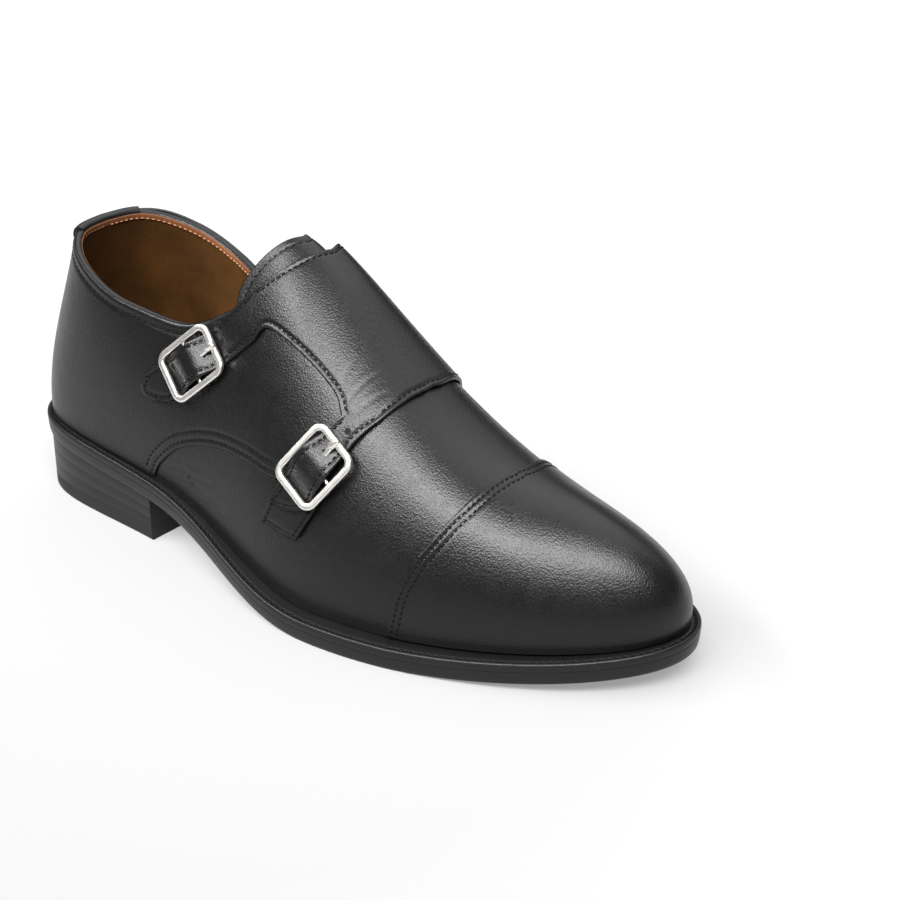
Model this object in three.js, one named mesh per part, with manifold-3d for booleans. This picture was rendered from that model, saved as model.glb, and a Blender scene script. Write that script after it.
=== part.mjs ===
// Double monk strap shoe with a cap toe, for the right foot. Millimetres, +X to the toe, +Y to the
// inner side of the foot, +Z up. The origin lies on the floor, under the back of the heel.
//
// One function, skin(), gives the last's surface. Every leather piece is a sheet of (row, girth)
// places on that surface, laid at its own height above or below it. The sole pieces are slabs
// between the welt's outline, moved in or out, and the sole's side profile.
import * as THREE from 'three';
import { mergeVertices } from 'three/addons/utils/BufferGeometryUtils.js';
import Module from 'manifold-3d';

// ---- Driving dimensions ----
const GAP = 0.3; // clearance between neighbouring pieces
const WALL = 2.2; // upper leather with its lining
const OVERLAY = 1.5; // one layer of calf laid over the upper
const TONGUE_THICKNESS = 2.6;
const TONGUE_GAP = 1; // room for the tongue's facets under the throat

const OUTSOLE_THICKNESS = 5.2;
const WELT_THICKNESS = 3.3;
const INSOLE_RISE = 2.4; // the footbed's height above the welt
const SOLE_EDGE_INSET = { under: 0.9, top: 0.3 }; // the outsole's edge leans in towards its underside
const WELT_CHAMFER = { inset: 0.5, level: 0.8 }; // bevel along the welt's upper edge

const HEEL_BREAST_X = 75; // front face of the heel
const HEEL_SEAT_Z = 25.6; // underside of the outsole at the back of the heel
const HEEL_SEAT_FALL = 0.09; // how fast the seat falls towards the breast
const HEEL_INSET = 1.4; // heel wall, inside the welt's outline
const TOP_PIECE_THICKNESS = 6; // rubber under the heel
const TREAD_START_X = 172; // flat forefoot tread
const TREAD_END_X = 205;
const TOE_X = 296;
const TOE_SPRING = 9.4;
const SPRING_POWER = 1.6;

const BUCKLE_LENGTH = 27; // along the strap
const BUCKLE_WIDTH = 21.5; // across the strap
const BUCKLE_BAR = 2; // width and thickness of the frame's bars
const BUCKLE_TILT = 0.03; // radians, the tail end stands higher
const HUMP_REACH = 7.5; // half length of a strap's climb over the centre bar
const PRONG_RADIUS = 0.8;
const KEEPER_THICKNESS = 1.1;

// ---- The last: one row from the heel back (0) to the toe tip (11), for both sides ----
// Outline of the welt on the outer and inner side, and how far the upper stands inside it.
const WELT_ROWS = [
  // outerX, outerY, innerX, innerY, ledge
  [-6.5, 0, -6.5, 0, 3.1],
  [-4, -24.5, -2.5, 22.5, 3.3],
  [15, -37.5, 13.5, 35.5, 3.7],
  [57, -39, 50, 35.5, 4.1],
  [96, -42.5, 92.5, 31.5, 4.9],
  [127, -52, 131.5, 30.5, 6.3],
  [158, -60, 165.5, 40, 7.5],
  [194.5, -58, 203, 49, 7.9],
  [233, -46.5, 238.5, 47.5, 7.7],
  [266.5, -30.5, 271, 40, 6.8],
  [289.5, -11.5, 292, 25, 5.6],
  [297.5, 7, 297.5, 7, 4.9],
];
// Top of each section: an ankle line down to row 3, then the ridge of instep, vamp and toe.
const TOP_ROWS = [
  // x, outerY, innerY, z
  [17, 0, 0, 126],
  [22, -19, 19, 127],
  [42, -28.5, 28.5, 129],
  [68, -28, 27, 132],
  [95, 1, 1, 137],
  [122, 4.5, 4.5, 134],
  [146, 2, 2, 118.5],
  [169.5, -0.5, -0.5, 98],
  [196, -1.5, -1.5, 77.5],
  [222, -0.5, -0.5, 63.5],
  [247, 2, 2, 58],
  [263.5, 4, 4, 53],
];
// How each section leaves the feather (rise and swell) and arrives at its top (crown and drop).
const WALL_ROWS = [
  // outerRise, innerRise, outerSwell, innerSwell, outerCrown, innerCrown, drop
  [32.5, 32.5, 2, 2, 4, 4, 34],
  [30.5, 34, 0, 5, 5, 5, 34],
  [30, 34, 1, 4, 7, 7, 34],
  [31.5, 35, 2, 2, 11, 11, 30],
  [32.5, 37.5, 3, -1, 16, 16.5, 16],
  [34, 37, 2.5, -1.5, 22, 20.5, 4],
  [30, 32.5, 3, 0.5, 28, 22.5, 0],
  [26, 26, 3, 2.5, 33, 23.5, 0],
  [24, 22, 3, 3.5, 33, 21.5, 0],
  [22.5, 21, 3.5, 5.5, 26, 18.5, 0],
  [20, 20, 3, 6.5, 18.5, 16, 0],
  [19, 19, 6, 6, 15, 15, 0],
];
const TOE_ROW = WELT_ROWS.length - 1;
const LOOP = 2 * TOE_ROW; // rows once round the shoe, outer side first

// Closes a table's outer and inner columns into one loop round the shoe.
function loopOf(rows, outer, inner = outer) {
  const outerSide = rows.map((row) => row[outer]);
  const innerSide = rows.slice(1, -1).map((row) => row[inner]);
  return outerSide.concat(innerSide.reverse());
}

const weltX = loopOf(WELT_ROWS, 0, 2);
const weltY = loopOf(WELT_ROWS, 1, 3);
const ledge = loopOf(WELT_ROWS, 4);
const topX = loopOf(TOP_ROWS, 0);
const topY = loopOf(TOP_ROWS, 1, 2);
const topZ = loopOf(TOP_ROWS, 3);
const wallRise = loopOf(WALL_ROWS, 0, 1);
const swell = loopOf(WALL_ROWS, 2, 3);
const crown = loopOf(WALL_ROWS, 4, 5);
const drop = loopOf(WALL_ROWS, 6);

// Uniform cubic B-spline through a closed column, and its slope per row.
function blend(column, place, slope = false) {
  const wrapped = ((place % LOOP) + LOOP) % LOOP;
  const row = Math.floor(wrapped);
  const f = wrapped - row;
  const g = 1 - f;
  const weights = slope
    ? [-g * g / 2, (3 * f * f - 4 * f) / 2, (-3 * f * f + 2 * f + 1) / 2, f * f / 2]
    : [g ** 3 / 6, (3 * f ** 3 - 6 * f * f + 4) / 6, (-3 * f ** 3 + 3 * f * f + 3 * f + 1) / 6, f ** 3 / 6];
  return weights.reduce((sum, w, k) => sum + w * column[(row - 1 + k + LOOP) % LOOP], 0);
}

// ---- The sole's side profile ----
function underSole(x) {
  const breastZ = HEEL_SEAT_Z - HEEL_SEAT_FALL * HEEL_BREAST_X;
  if (x <= HEEL_BREAST_X) return HEEL_SEAT_Z - HEEL_SEAT_FALL * x;
  if (x < TREAD_START_X) {
    const run = TREAD_START_X - HEEL_BREAST_X;
    const s = (x - HEEL_BREAST_X) / run;
    const fall = -HEEL_SEAT_FALL * run;
    return breastZ * (1 + 2 * s) * (1 - s) ** 2 + fall * s * (1 - s) ** 2;
  }
  if (x <= TREAD_END_X) return 0;
  return TOE_SPRING * ((x - TREAD_END_X) / (TOE_X - TREAD_END_X)) ** SPRING_POWER;
}
const WELT_TOP = OUTSOLE_THICKNESS + WELT_THICKNESS; // height of the welt above the underside

// A place on the welt's outline, moved inwards by inset.
function outline(place, inset = 0) {
  const x = blend(weltX, place);
  const y = blend(weltY, place);
  const dx = blend(weltX, place, true);
  const dy = blend(weltY, place, true);
  const length = Math.hypot(dx, dy);
  const out = new THREE.Vector2(dy / length, -dx / length);
  return { x: x - out.x * inset, y: y - out.y * inset, out };
}

// A point of the last. place counts rows round the shoe, up goes from the feather (0) to the top (1).
function lastPoint(place, up) {
  const foot = outline(place, blend(ledge, place));
  const feather = new THREE.Vector3(foot.x, foot.y, underSole(foot.x) + WELT_TOP + GAP);
  const out = new THREE.Vector3(foot.out.x, foot.out.y, 0);
  const top = new THREE.Vector3(blend(topX, place), blend(topY, place), blend(topZ, place));
  const turning = 0.02; // the top line turns back on itself at the heel and at the toe
  let steady = ((place % LOOP) + LOOP) % LOOP;
  if (Math.abs(steady - TOE_ROW) < turning) steady = TOE_ROW - turning;
  if (steady < turning || steady > LOOP - turning) steady = turning;
  const slope = blend(topZ, steady, true) / blend(topX, steady, true);
  const low = feather.clone().addScaledVector(out, blend(swell, place));
  low.z += blend(wallRise, place);
  const high = top.clone().addScaledVector(out, blend(crown, place));
  high.z += blend(crown, place) * out.x * slope - blend(drop, place);
  const v = up;
  const w = 1 - up;
  return feather.multiplyScalar(w ** 3)
    .addScaledVector(low, 3 * w * w * v)
    .addScaledVector(high, 3 * w * v * v)
    .addScaledVector(top, v ** 3);
}

// A girth of 0 to 1 climbs the outer side to the ridge, and 1 to 2 goes down the inner side.
function sides(row, girth) {
  return girth <= 1 ? [row, girth] : [LOOP - row, 2 - girth];
}
function surfacePoint(row, girth) {
  if (girth === 1) return lastPoint(row, 1).add(lastPoint(LOOP - row, 1)).multiplyScalar(0.5);
  return lastPoint(...sides(row, girth));
}
function surfaceNormal(row, girth) {
  const [place, height] = sides(row, girth);
  const up = Math.min(height, 0.985); // the sections close up at the end of the ridge
  const step = 0.002;
  const along = lastPoint(place + step, up).sub(lastPoint(place - step, up));
  const upward = lastPoint(place, up + step).sub(lastPoint(place, up - step));
  return along.cross(upward).normalize();
}
function skin(row, girth, height) {
  return surfacePoint(row, girth).addScaledVector(surfaceNormal(row, girth), height);
}

// ---- Lines of the pattern, as [row, girth] ----
// A smooth line through a few places, read by s from 0 to 1.
function line(places) {
  const curve = new THREE.CatmullRomCurve3(places.map(([row, girth]) => new THREE.Vector3(row, girth, 0)));
  return (s) => {
    const p = curve.getPoint(s);
    return [p.x, p.y];
  };
}
const mix = (a, b, s) => a.map((value, k) => value + (b[k] - value) * s);
const straight = (a, b) => (s) => mix(a, b, s);
const mirrored = (curve) => (s) => {
  const [row, girth] = curve(s);
  return [row, 2 - girth];
};

// Topline from the heel back, round the ankle, to the throat under the flap.
const THROAT_ROW = 5.8;
const THROAT_FOOT_ROW = 5.2;
const topline = line([
  [0, 0.865], [1, 0.85], [2, 0.765], [3, 0.64], [3.8, 0.56], [4.5, 0.61], [5.15, 0.72], [5.6, 0.86], [THROAT_ROW, 1],
]);
const SEAM_ROW = 0.46; // the inner quarter starts here, beside the back stay
const FEATHER_CLEAR = 0.025; // overlays end this far up from the feather

// The inner quarter's line along the collar, and over the instep to the root of the upper strap.
const quarterTop = line([
  [SEAM_ROW, 1.14], [1.2, 1.16], [2, 1.235], [3, 1.36], [3.8, 1.44], [4.4, 1.4], [4.9, 1.32],
]);
const flapTop = line([
  [4.9, 1.32], [5.3, 1.2], [5.55, 1.06], [5.57, 0.96], [5.4, 0.84], [5.1, 0.735], [4.9, 0.69],
]);
// Its front edge, from the welt over the vamp to the root of the lower strap.
const FRONT_CORNER = [5.66, 2 - FEATHER_CLEAR];
const flapFront = line([
  FRONT_CORNER, [6.06, 1.74], [6.45, 1.59], [6.95, 1.42], [7.42, 1.22], [7.66, 1.03], [7.45, 0.86], [7.18, 0.71],
]);
// The rounded opening between the two straps.
const cutOut = line([[5.13, 0.575], [5.3, 0.625], [5.7, 0.645], [6.2, 0.66], [6.55, 0.655], [6.68, 0.62]]);
const upperStrapEdges = [
  line([[4.9, 0.69], [4.44, 0.58], [4.06, 0.495], [3.7, 0.44], [3.42, 0.4]]),
  line([[5.13, 0.575], [4.69, 0.49], [4.3, 0.43], [4.0, 0.375], [3.72, 0.325]]),
];
const lowerStrapEdges = [
  line([[6.68, 0.62], [6.45, 0.53], [6.19, 0.43], [5.98, 0.345], [5.78, 0.275]]),
  line([[7.18, 0.71], [6.9, 0.585], [6.65, 0.47], [6.45, 0.38], [6.27, 0.31]]),
];
// The cap's seam, at even steps of girth from the outer feather over the toe to the inner one.
const capLine = line([
  [7.25, FEATHER_CLEAR], [7.45, 0.25], [7.97, 0.5], [8.58, 0.75], [9.05, 1],
  [8.72, 1.25], [8.07, 1.5], [7.45, 1.75], [7.1, 2 - FEATHER_CLEAR],
]);

// ---- Sheets: grids of [row, girth] places ----
function grid(columns, rows, placeAt) {
  const sheet = [];
  for (let i = 0; i <= columns; i += 1) {
    const column = [];
    for (let j = 0; j <= rows; j += 1) column.push(placeAt(i / columns, j / rows));
    sheet.push(column);
  }
  return sheet;
}
const ruled = (first, second, columns, rows) => grid(columns, rows, (s, t) => mix(first(s), second(s), t));
// A patch with four given edges: top and bottom run by s, start and finish by t.
function fourSided(top, bottom, start, finish, columns, rows) {
  return grid(columns, rows, (s, t) => {
    const across = mix(top(s), bottom(s), t);
    const alongEdges = mix(start(t), finish(t), s);
    const corners = mix(mix(top(0), bottom(0), t), mix(top(1), bottom(1), t), s);
    return across.map((value, k) => value + alongEdges[k] - corners[k]);
  });
}

// Turns sheets into one closed leather piece between two heights over the last.
function leather(sheets, under, over) {
  const places = [];
  const known = new Map();
  const quads = [];
  const indexOf = (place) => {
    const p = surfacePoint(...place);
    const key = [p.x, p.y, p.z].map((value) => Math.round(value * 1000)).join(' ');
    if (!known.has(key)) {
      known.set(key, places.length);
      places.push(place);
    }
    return known.get(key);
  };
  for (const sheet of sheets) {
    const index = sheet.map((column) => column.map(indexOf));
    for (let i = 0; i + 1 < index.length; i += 1) {
      for (let j = 0; j + 1 < index[i].length; j += 1) {
        quads.push([index[i][j], index[i + 1][j], index[i + 1][j + 1], index[i][j + 1]]);
      }
    }
  }
  const heightAt = (height, place) => (typeof height === 'function' ? height(place) : height);
  const upperSide = places.map((place) => skin(...place, heightAt(over, place)));
  const underSide = places.map((place) => skin(...place, heightAt(under, place)));
  const triangles = quads.flatMap(([a, b, c, d]) => [[a, b, c], [a, c, d]])
    .filter(([a, b, c]) => a !== b && b !== c && c !== a);
  return shell(upperSide, underSide, triangles);
}

// Closes two matching surfaces round their open edges.
function shell(upperSide, underSide, triangles) {
  const count = upperSide.length;
  const used = new Set(triangles.flatMap(([a, b, c]) => [`${a} ${b}`, `${b} ${c}`, `${c} ${a}`]));
  const faces = [];
  for (const [a, b, c] of triangles) {
    faces.push([a, b, c], [c + count, b + count, a + count]);
    for (const [p, q] of [[a, b], [b, c], [c, a]]) {
      if (!used.has(`${q} ${p}`)) faces.push([q, p, p + count], [q, p + count, q + count]);
    }
  }
  return solid(upperSide.concat(underSide), faces);
}

function solid(points, faces) {
  const geometry = new THREE.BufferGeometry();
  geometry.setAttribute('position', new THREE.Float32BufferAttribute(points.flatMap((p) => [p.x, p.y, p.z]), 3));
  geometry.setIndex(faces.flat());
  return geometry;
}

// ---- Slabs: sole pieces between two heights, across the shoe from side to side ----
// ends gives the first and last place on the outer side; the inner side mirrors it.
function slab({ outerEnd, innerEnd, ribs, cells, inset, bottom, top, insetTop = inset }) {
  const edge = (place, moveIn) => outline(place, typeof moveIn === 'function' ? moveIn(place) : moveIn);
  const makeSide = (height, moveIn) => {
    const points = [];
    for (let i = 0; i <= ribs; i += 1) {
      const outer = edge(outerEnd * i / ribs, moveIn);
      const inner = edge(LOOP - innerEnd * i / ribs, moveIn);
      for (let j = 0; j <= cells; j += 1) {
        const s = j / cells;
        const x = outer.x + (inner.x - outer.x) * s;
        const y = outer.y + (inner.y - outer.y) * s;
        points.push(new THREE.Vector3(x, y, height(x)));
      }
    }
    return points;
  };
  const at = (i, j) => i * (cells + 1) + j;
  const triangles = [];
  for (let i = 0; i < ribs; i += 1) {
    for (let j = 0; j < cells; j += 1) {
      triangles.push([at(i, j), at(i + 1, j), at(i + 1, j + 1)], [at(i, j), at(i + 1, j + 1), at(i, j + 1)]);
    }
  }
  return weldShell(makeSide(top, insetTop), makeSide(bottom, inset), triangles);
}

// The slab's ribs shrink to one point at the heel back and toe tip, which are joined here.
function weldShell(upperSide, underSide, triangles) {
  const first = new Map();
  const keep = upperSide.map((p, index) => {
    const key = [p.x, p.y].map((value) => Math.round(value * 1000)).join(' ');
    if (!first.has(key)) first.set(key, index);
    return first.get(key);
  });
  const welded = triangles.map((triangle) => triangle.map((index) => keep[index]))
    .filter(([a, b, c]) => a !== b && b !== c && c !== a);
  const usedIndex = [...new Set(welded.flat())];
  const compact = new Map(usedIndex.map((index, order) => [index, order]));
  return shell(
    usedIndex.map((index) => upperSide[index]),
    usedIndex.map((index) => underSide[index]),
    welded.map((triangle) => triangle.map((index) => compact.get(index))),
  );
}

// The place on one side where the outline, moved in by inset, reaches a given x.
function placeAtX(x, inset, inner) {
  let low = 0.5;
  let high = TOE_ROW - 2;
  for (let step = 0; step < 40; step += 1) {
    const middle = (low + high) / 2;
    if (outline(inner ? LOOP - middle : middle, inset).x < x) low = middle;
    else high = middle;
  }
  return low;
}

// ---- Materials ----
const paint = (color, roughness, metalness = 0) => new THREE.MeshStandardMaterial({ color, roughness, metalness });
const MATERIALS = {
  calf: () => paint(0x17171a, 0.38),
  soleEdge: () => paint(0x121213, 0.6),
  rubber: () => paint(0x0e0e0f, 0.75),
  footbed: () => paint(0x7a4a22, 0.7),
  steel: () => paint(0xd9d9d6, 0.18, 1),
};

const shoe = new THREE.Group();
function addPart(name, geometry, material) {
  const mesh = new THREE.Mesh(geometry, material());
  mesh.name = name;
  shoe.add(mesh);
  return mesh;
}

// ---- Sole ----
const FULL_RIBS = 44;
addPart('outsole', slab({
  outerEnd: TOE_ROW, innerEnd: TOE_ROW, ribs: FULL_RIBS, cells: 3,
  inset: SOLE_EDGE_INSET.under, insetTop: SOLE_EDGE_INSET.top,
  bottom: underSole, top: (x) => underSole(x) + OUTSOLE_THICKNESS,
}), MATERIALS.soleEdge);

// The welt is a ring: its four corners go once round the shoe.
const WELT_STEPS = 66;
const WELT_UNDER_UPPER = 1.6; // how far the welt reaches in under the wall
function weltRing() {
  const points = [];
  for (let i = 0; i < WELT_STEPS; i += 1) {
    const place = LOOP * i / WELT_STEPS;
    const reach = blend(ledge, place) + WELT_UNDER_UPPER;
    const corners = [[0, 0], [0, WELT_CHAMFER.level], [WELT_CHAMFER.inset, 1], [reach, 1], [reach, 0]];
    for (const [inset, level] of corners) {
      const p = outline(place, inset);
      const base = underSole(p.x) + OUTSOLE_THICKNESS + GAP;
      points.push(new THREE.Vector3(p.x, p.y, base + level * (WELT_THICKNESS - GAP)));
    }
  }
  const faces = [];
  const corners = 5;
  for (let i = 0; i < WELT_STEPS; i += 1) {
    const next = (i + 1) % WELT_STEPS;
    for (let k = 0; k < corners; k += 1) {
      const up = (k + 1) % corners;
      const [a, b, c, d] = [i * corners + k, next * corners + k, next * corners + up, i * corners + up];
      faces.push([a, b, c], [a, c, d]);
    }
  }
  return solid(points, faces);
}
addPart('welt', weltRing(), MATERIALS.soleEdge);

function heelSlab(bottom, top, inset, insetTop) {
  return slab({
    outerEnd: placeAtX(HEEL_BREAST_X, inset, false), innerEnd: placeAtX(HEEL_BREAST_X, inset, true),
    ribs: 16, cells: 4, inset, insetTop, bottom, top,
  });
}
addPart('heel_stack', heelSlab(() => TOP_PIECE_THICKNESS + GAP, (x) => underSole(x) - GAP, HEEL_INSET, HEEL_INSET),
  MATERIALS.soleEdge);
addPart('heel_top_piece', heelSlab(() => 0, () => TOP_PIECE_THICKNESS, HEEL_INSET, HEEL_INSET), MATERIALS.rubber);

const INSOLE_INSET = WALL + 2 * GAP; // inside the feather, clear of the wall
addPart('insole', slab({
  outerEnd: TOE_ROW, innerEnd: TOE_ROW, ribs: 26, cells: 3, inset: (place) => blend(ledge, place) + INSOLE_INSET,
  bottom: (x) => underSole(x) + OUTSOLE_THICKNESS + GAP, top: (x) => underSole(x) + WELT_TOP + INSOLE_RISE,
}), MATERIALS.footbed);

// ---- Upper: vamp and quarters in one hollow wall, open at collar, throat and underneath ----
const BACK_COLUMNS = 20;
const FRONT_COLUMNS = 25;
const SIDE_ROWS = 11;
const featherLine = (s) => [THROAT_FOOT_ROW * s, 0];
const throatLine = (girth) => {
  const up = girth <= 1 ? girth : 2 - girth;
  return [THROAT_FOOT_ROW + (THROAT_ROW - THROAT_FOOT_ROW) * up, girth];
};
addPart('upper', leather([
  ruled(featherLine, topline, BACK_COLUMNS, SIDE_ROWS),
  ruled(mirrored(topline), mirrored(featherLine), BACK_COLUMNS, SIDE_ROWS),
  grid(FRONT_COLUMNS, 2 * SIDE_ROWS, (s, t) => mix(throatLine(2 * t), [TOE_ROW, 2 * t], s)),
], -WALL, 0), MATERIALS.calf);

// Overlays lie on the upper. Their gap also takes up the difference between the facets of both.
const OVERLAY_GAP = 0.55;
const ON_UPPER = [OVERLAY_GAP, OVERLAY_GAP + OVERLAY];
addPart('toe_cap', leather([
  grid(12, 22, (s, t) => mix(capLine(t), [TOE_ROW, FEATHER_CLEAR + 2 * (1 - FEATHER_CLEAR) * t], s)),
], ...ON_UPPER), MATERIALS.calf);

const STAY_HALF_ROW = 0.4;
const STAY_TOP = 0.875; // a little over the topline
addPart('back_stay', leather([
  grid(4, 8, (s, t) => [STAY_HALF_ROW * (2 * s - 1), FEATHER_CLEAR + (STAY_TOP - FEATHER_CLEAR) * t]),
], ...ON_UPPER), MATERIALS.calf);

// The tongue runs under the throat and shows above it with a rounded top.
const TONGUE_ROWS = { top: 4.75, foot: 6.7 };
const TONGUE_HALF_GIRTH = { top: 0.31, foot: 0.22 };
const TONGUE_ROUNDING = 0.42; // rows that the top corners are drawn back
const tongueHeights = [-(WALL + TONGUE_GAP + TONGUE_THICKNESS), -(WALL + TONGUE_GAP)];
addPart('tongue', leather([
  grid(9, 10, (s, t) => {
    const side = 2 * t - 1;
    const halfGirth = TONGUE_HALF_GIRTH.top + (TONGUE_HALF_GIRTH.foot - TONGUE_HALF_GIRTH.top) * s;
    const rounding = TONGUE_ROUNDING * side ** 4 * (1 - s);
    return [TONGUE_ROWS.top + rounding + (TONGUE_ROWS.foot - TONGUE_ROWS.top) * s, 1 + halfGirth * side];
  }),
], ...tongueHeights), MATERIALS.calf);

// ---- Buckles ----
// Each sits on the upper at a place, turned so that its own +X runs along the strap to the tail.
// rise is the height of the centre bar's underside above the upper.
const BUCKLES = {
  upper: { place: [4.13, 0.457], tail: new THREE.Vector3(-0.707, -0.221, -0.671), rise: 3.9 },
  lower: { place: [6.45, 0.45], tail: new THREE.Vector3(-0.517, -0.382, -0.766), rise: 3 },
};
for (const buckle of Object.values(BUCKLES)) {
  const up = surfaceNormal(...buckle.place);
  const along = buckle.tail.clone().addScaledVector(up, -buckle.tail.dot(up)).normalize();
  buckle.origin = surfacePoint(...buckle.place);
  buckle.frame = new THREE.Matrix4().makeBasis(along, up.clone().cross(along), up).setPosition(buckle.origin);
  buckle.along = along;
}

// A strap's facets cut the corner over the bar by less than this.
const FACET_ROOM = 1.4;
// A strap lies on the upper, then on the keeper's tab, and climbs over the centre bar between them.
function strapLift(buckle, place) {
  const run = surfacePoint(...place).sub(buckle.origin).dot(buckle.along);
  const hump = Math.abs(run) < HUMP_REACH ? Math.cos(Math.PI * run / HUMP_REACH / 2) ** 2 : 0;
  const onKeeper = THREE.MathUtils.smoothstep(run, -HUMP_REACH, 2);
  const climb = buckle.rise + BUCKLE_BAR + FACET_ROOM;
  return OVERLAY_GAP + Math.max(climb * hump, (KEEPER_THICKNESS + GAP) * onKeeper);
}

// ---- Inner quarter: runs over the instep as a flap and ends in the two straps ----
const STRAP_CELLS = 3;
const CUT_OUT_CELLS = 6;
const QUARTER_CELLS = 2 * STRAP_CELLS + CUT_OUT_CELLS;
// The flap's edge on the outer side: root of the upper strap, opening, root of the lower strap.
function flapEnd(t) {
  const cell = t * QUARTER_CELLS;
  if (cell <= STRAP_CELLS) return mix(flapTop(1), cutOut(0), cell / STRAP_CELLS);
  if (cell <= STRAP_CELLS + CUT_OUT_CELLS) return cutOut((cell - STRAP_CELLS) / CUT_OUT_CELLS);
  return mix(cutOut(1), flapFront(1), (cell - STRAP_CELLS - CUT_OUT_CELLS) / STRAP_CELLS);
}
const seamEdge = straight([SEAM_ROW, 1.14], [SEAM_ROW, 2 - FEATHER_CLEAR]);
const flapStart = straight(quarterTop(1), FRONT_CORNER);
const quarterFoot = straight([SEAM_ROW, 2 - FEATHER_CLEAR], FRONT_CORNER);
// A strap between its two edges, with its tail rounded off.
function strap([far, near], roundness) {
  return grid(16, STRAP_CELLS, (s, t) => {
    const reach = s * (1 - roundness * s * (2 * t - 1) ** 2);
    return mix(far(reach), near(reach), t);
  });
}
function quarterUnder([row, girth]) {
  if (girth > 0.7) return OVERLAY_GAP;
  return strapLift(row < 5.4 ? BUCKLES.upper : BUCKLES.lower, [row, girth]);
}
const quarterSheets = [
  fourSided(quarterTop, quarterFoot, seamEdge, flapStart, 14, QUARTER_CELLS),
  fourSided(flapTop, flapFront, flapStart, flapEnd, 14, QUARTER_CELLS),
  strap(upperStrapEdges, 0.12),
  strap(lowerStrapEdges, 0.06),
];

// ---- Buckle frames, prongs and keepers, in each buckle's own axes ----
const wasm = await Module();
wasm.setup();
function toManifold(geometry) {
  const bare = geometry.clone();
  bare.deleteAttribute('normal');
  bare.deleteAttribute('uv');
  const merged = mergeVertices(bare, 1e-4);
  return new wasm.Manifold(new wasm.Mesh({
    numProp: 3,
    vertProperties: new Float32Array(merged.attributes.position.array),
    triVerts: new Uint32Array(merged.index.array),
  }));
}
function fromManifold(body) {
  const mesh = body.getMesh();
  const geometry = new THREE.BufferGeometry();
  geometry.setAttribute('position', new THREE.BufferAttribute(mesh.vertProperties, 3));
  geometry.setIndex(new THREE.BufferAttribute(mesh.triVerts, 1));
  return geometry;
}
function roundedRectangle(shape, length, width, radius) {
  const [x, y] = [length / 2, width / 2];
  shape.moveTo(x - radius, -y);
  shape.absarc(x - radius, -y + radius, radius, -Math.PI / 2, 0);
  shape.absarc(x - radius, y - radius, radius, 0, Math.PI / 2);
  shape.absarc(-x + radius, y - radius, radius, Math.PI / 2, Math.PI);
  shape.absarc(-x + radius, -y + radius, radius, Math.PI, 1.5 * Math.PI);
  shape.closePath();
  return shape;
}
function buckleFrame({ rise }) {
  const ring = roundedRectangle(new THREE.Shape(), BUCKLE_LENGTH, BUCKLE_WIDTH, 4);
  const window = [BUCKLE_LENGTH - 2 * BUCKLE_BAR, BUCKLE_WIDTH - 2 * BUCKLE_BAR];
  ring.holes.push(roundedRectangle(new THREE.Path(), ...window, 2.4));
  const frame = new THREE.ExtrudeGeometry(ring, { depth: BUCKLE_BAR, bevelEnabled: false, curveSegments: 4 });
  const bar = new THREE.BoxGeometry(BUCKLE_BAR, BUCKLE_WIDTH - BUCKLE_BAR, BUCKLE_BAR * 0.9);
  bar.translate(0, 0, BUCKLE_BAR / 2);
  const joined = fromManifold(toManifold(frame).add(toManifold(bar)));
  joined.rotateY(-BUCKLE_TILT);
  joined.translate(0, 0, rise);
  return joined;
}
// The prong runs from the centre bar up through the strap to the instep end of the frame.
function prong({ rise }, radius) {
  const barSide = -(BUCKLE_BAR / 2 + GAP + PRONG_RADIUS);
  const onFrame = rise + BUCKLE_BAR + GAP + PRONG_RADIUS - BUCKLE_TILT * BUCKLE_LENGTH / 2;
  const path = new THREE.CatmullRomCurve3([
    new THREE.Vector3(barSide, 0, rise + BUCKLE_BAR / 2),
    new THREE.Vector3(-BUCKLE_LENGTH / 4, 0, onFrame),
    new THREE.Vector3(-BUCKLE_LENGTH / 2 - PRONG_RADIUS, 0, onFrame),
  ]);
  const section = new THREE.Shape();
  section.absarc(0, 0, radius, 0, 2 * Math.PI);
  return new THREE.ExtrudeGeometry(section, { steps: 6, extrudePath: path, curveSegments: 4, bevelEnabled: false });
}
for (const [name, buckle] of Object.entries(BUCKLES)) {
  addPart(`buckle_${name}`, buckleFrame(buckle), MATERIALS.steel).applyMatrix4(buckle.frame);
  addPart(`prong_${name}`, prong(buckle, PRONG_RADIUS), MATERIALS.steel).applyMatrix4(buckle.frame);
}

// Each strap has a hole where its prong comes through.
let quarter = toManifold(leather(quarterSheets, quarterUnder, (place) => quarterUnder(place) + OVERLAY));
for (const buckle of Object.values(BUCKLES)) {
  quarter = quarter.subtract(toManifold(prong(buckle, PRONG_RADIUS + GAP).applyMatrix4(buckle.frame)));
}
addPart('inner_quarter_with_straps', fromManifold(quarter), MATERIALS.calf);

// The keepers are short tabs of calf that hold the centre bars; the lower one shows past its strap.
const KEEPERS = {
  upper: [line([[4.0, 0.485], [3.72, 0.41]]), line([[4.2, 0.43], [3.92, 0.365]])],
  lower: [line([[6.1, 0.43], [5.87, 0.33], [5.62, 0.215]]), line([[6.62, 0.43], [6.45, 0.34], [6.2, 0.235]])],
};
for (const [name, [far, near]] of Object.entries(KEEPERS)) {
  addPart(`keeper_${name}`, leather([ruled(far, near, 6, 3)], GAP, GAP + KEEPER_THICKNESS), MATERIALS.calf);
}

export default shoe;
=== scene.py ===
"""A double monk strap shoe with a cap toe, for the right foot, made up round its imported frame.

Metres, +X to the toe, +Y to the inner side of the foot, +Z up, with the floor at 0. Patterns and
sections are cut in millimetres, as a shoemaker does, and go to metres when they are lasted.
"""
import math

import bmesh
import bpy
import numpy as np
from mathutils import Euler, Matrix, Vector
from mathutils.bvhtree import BVHTree
from mathutils.kdtree import KDTree


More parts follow.
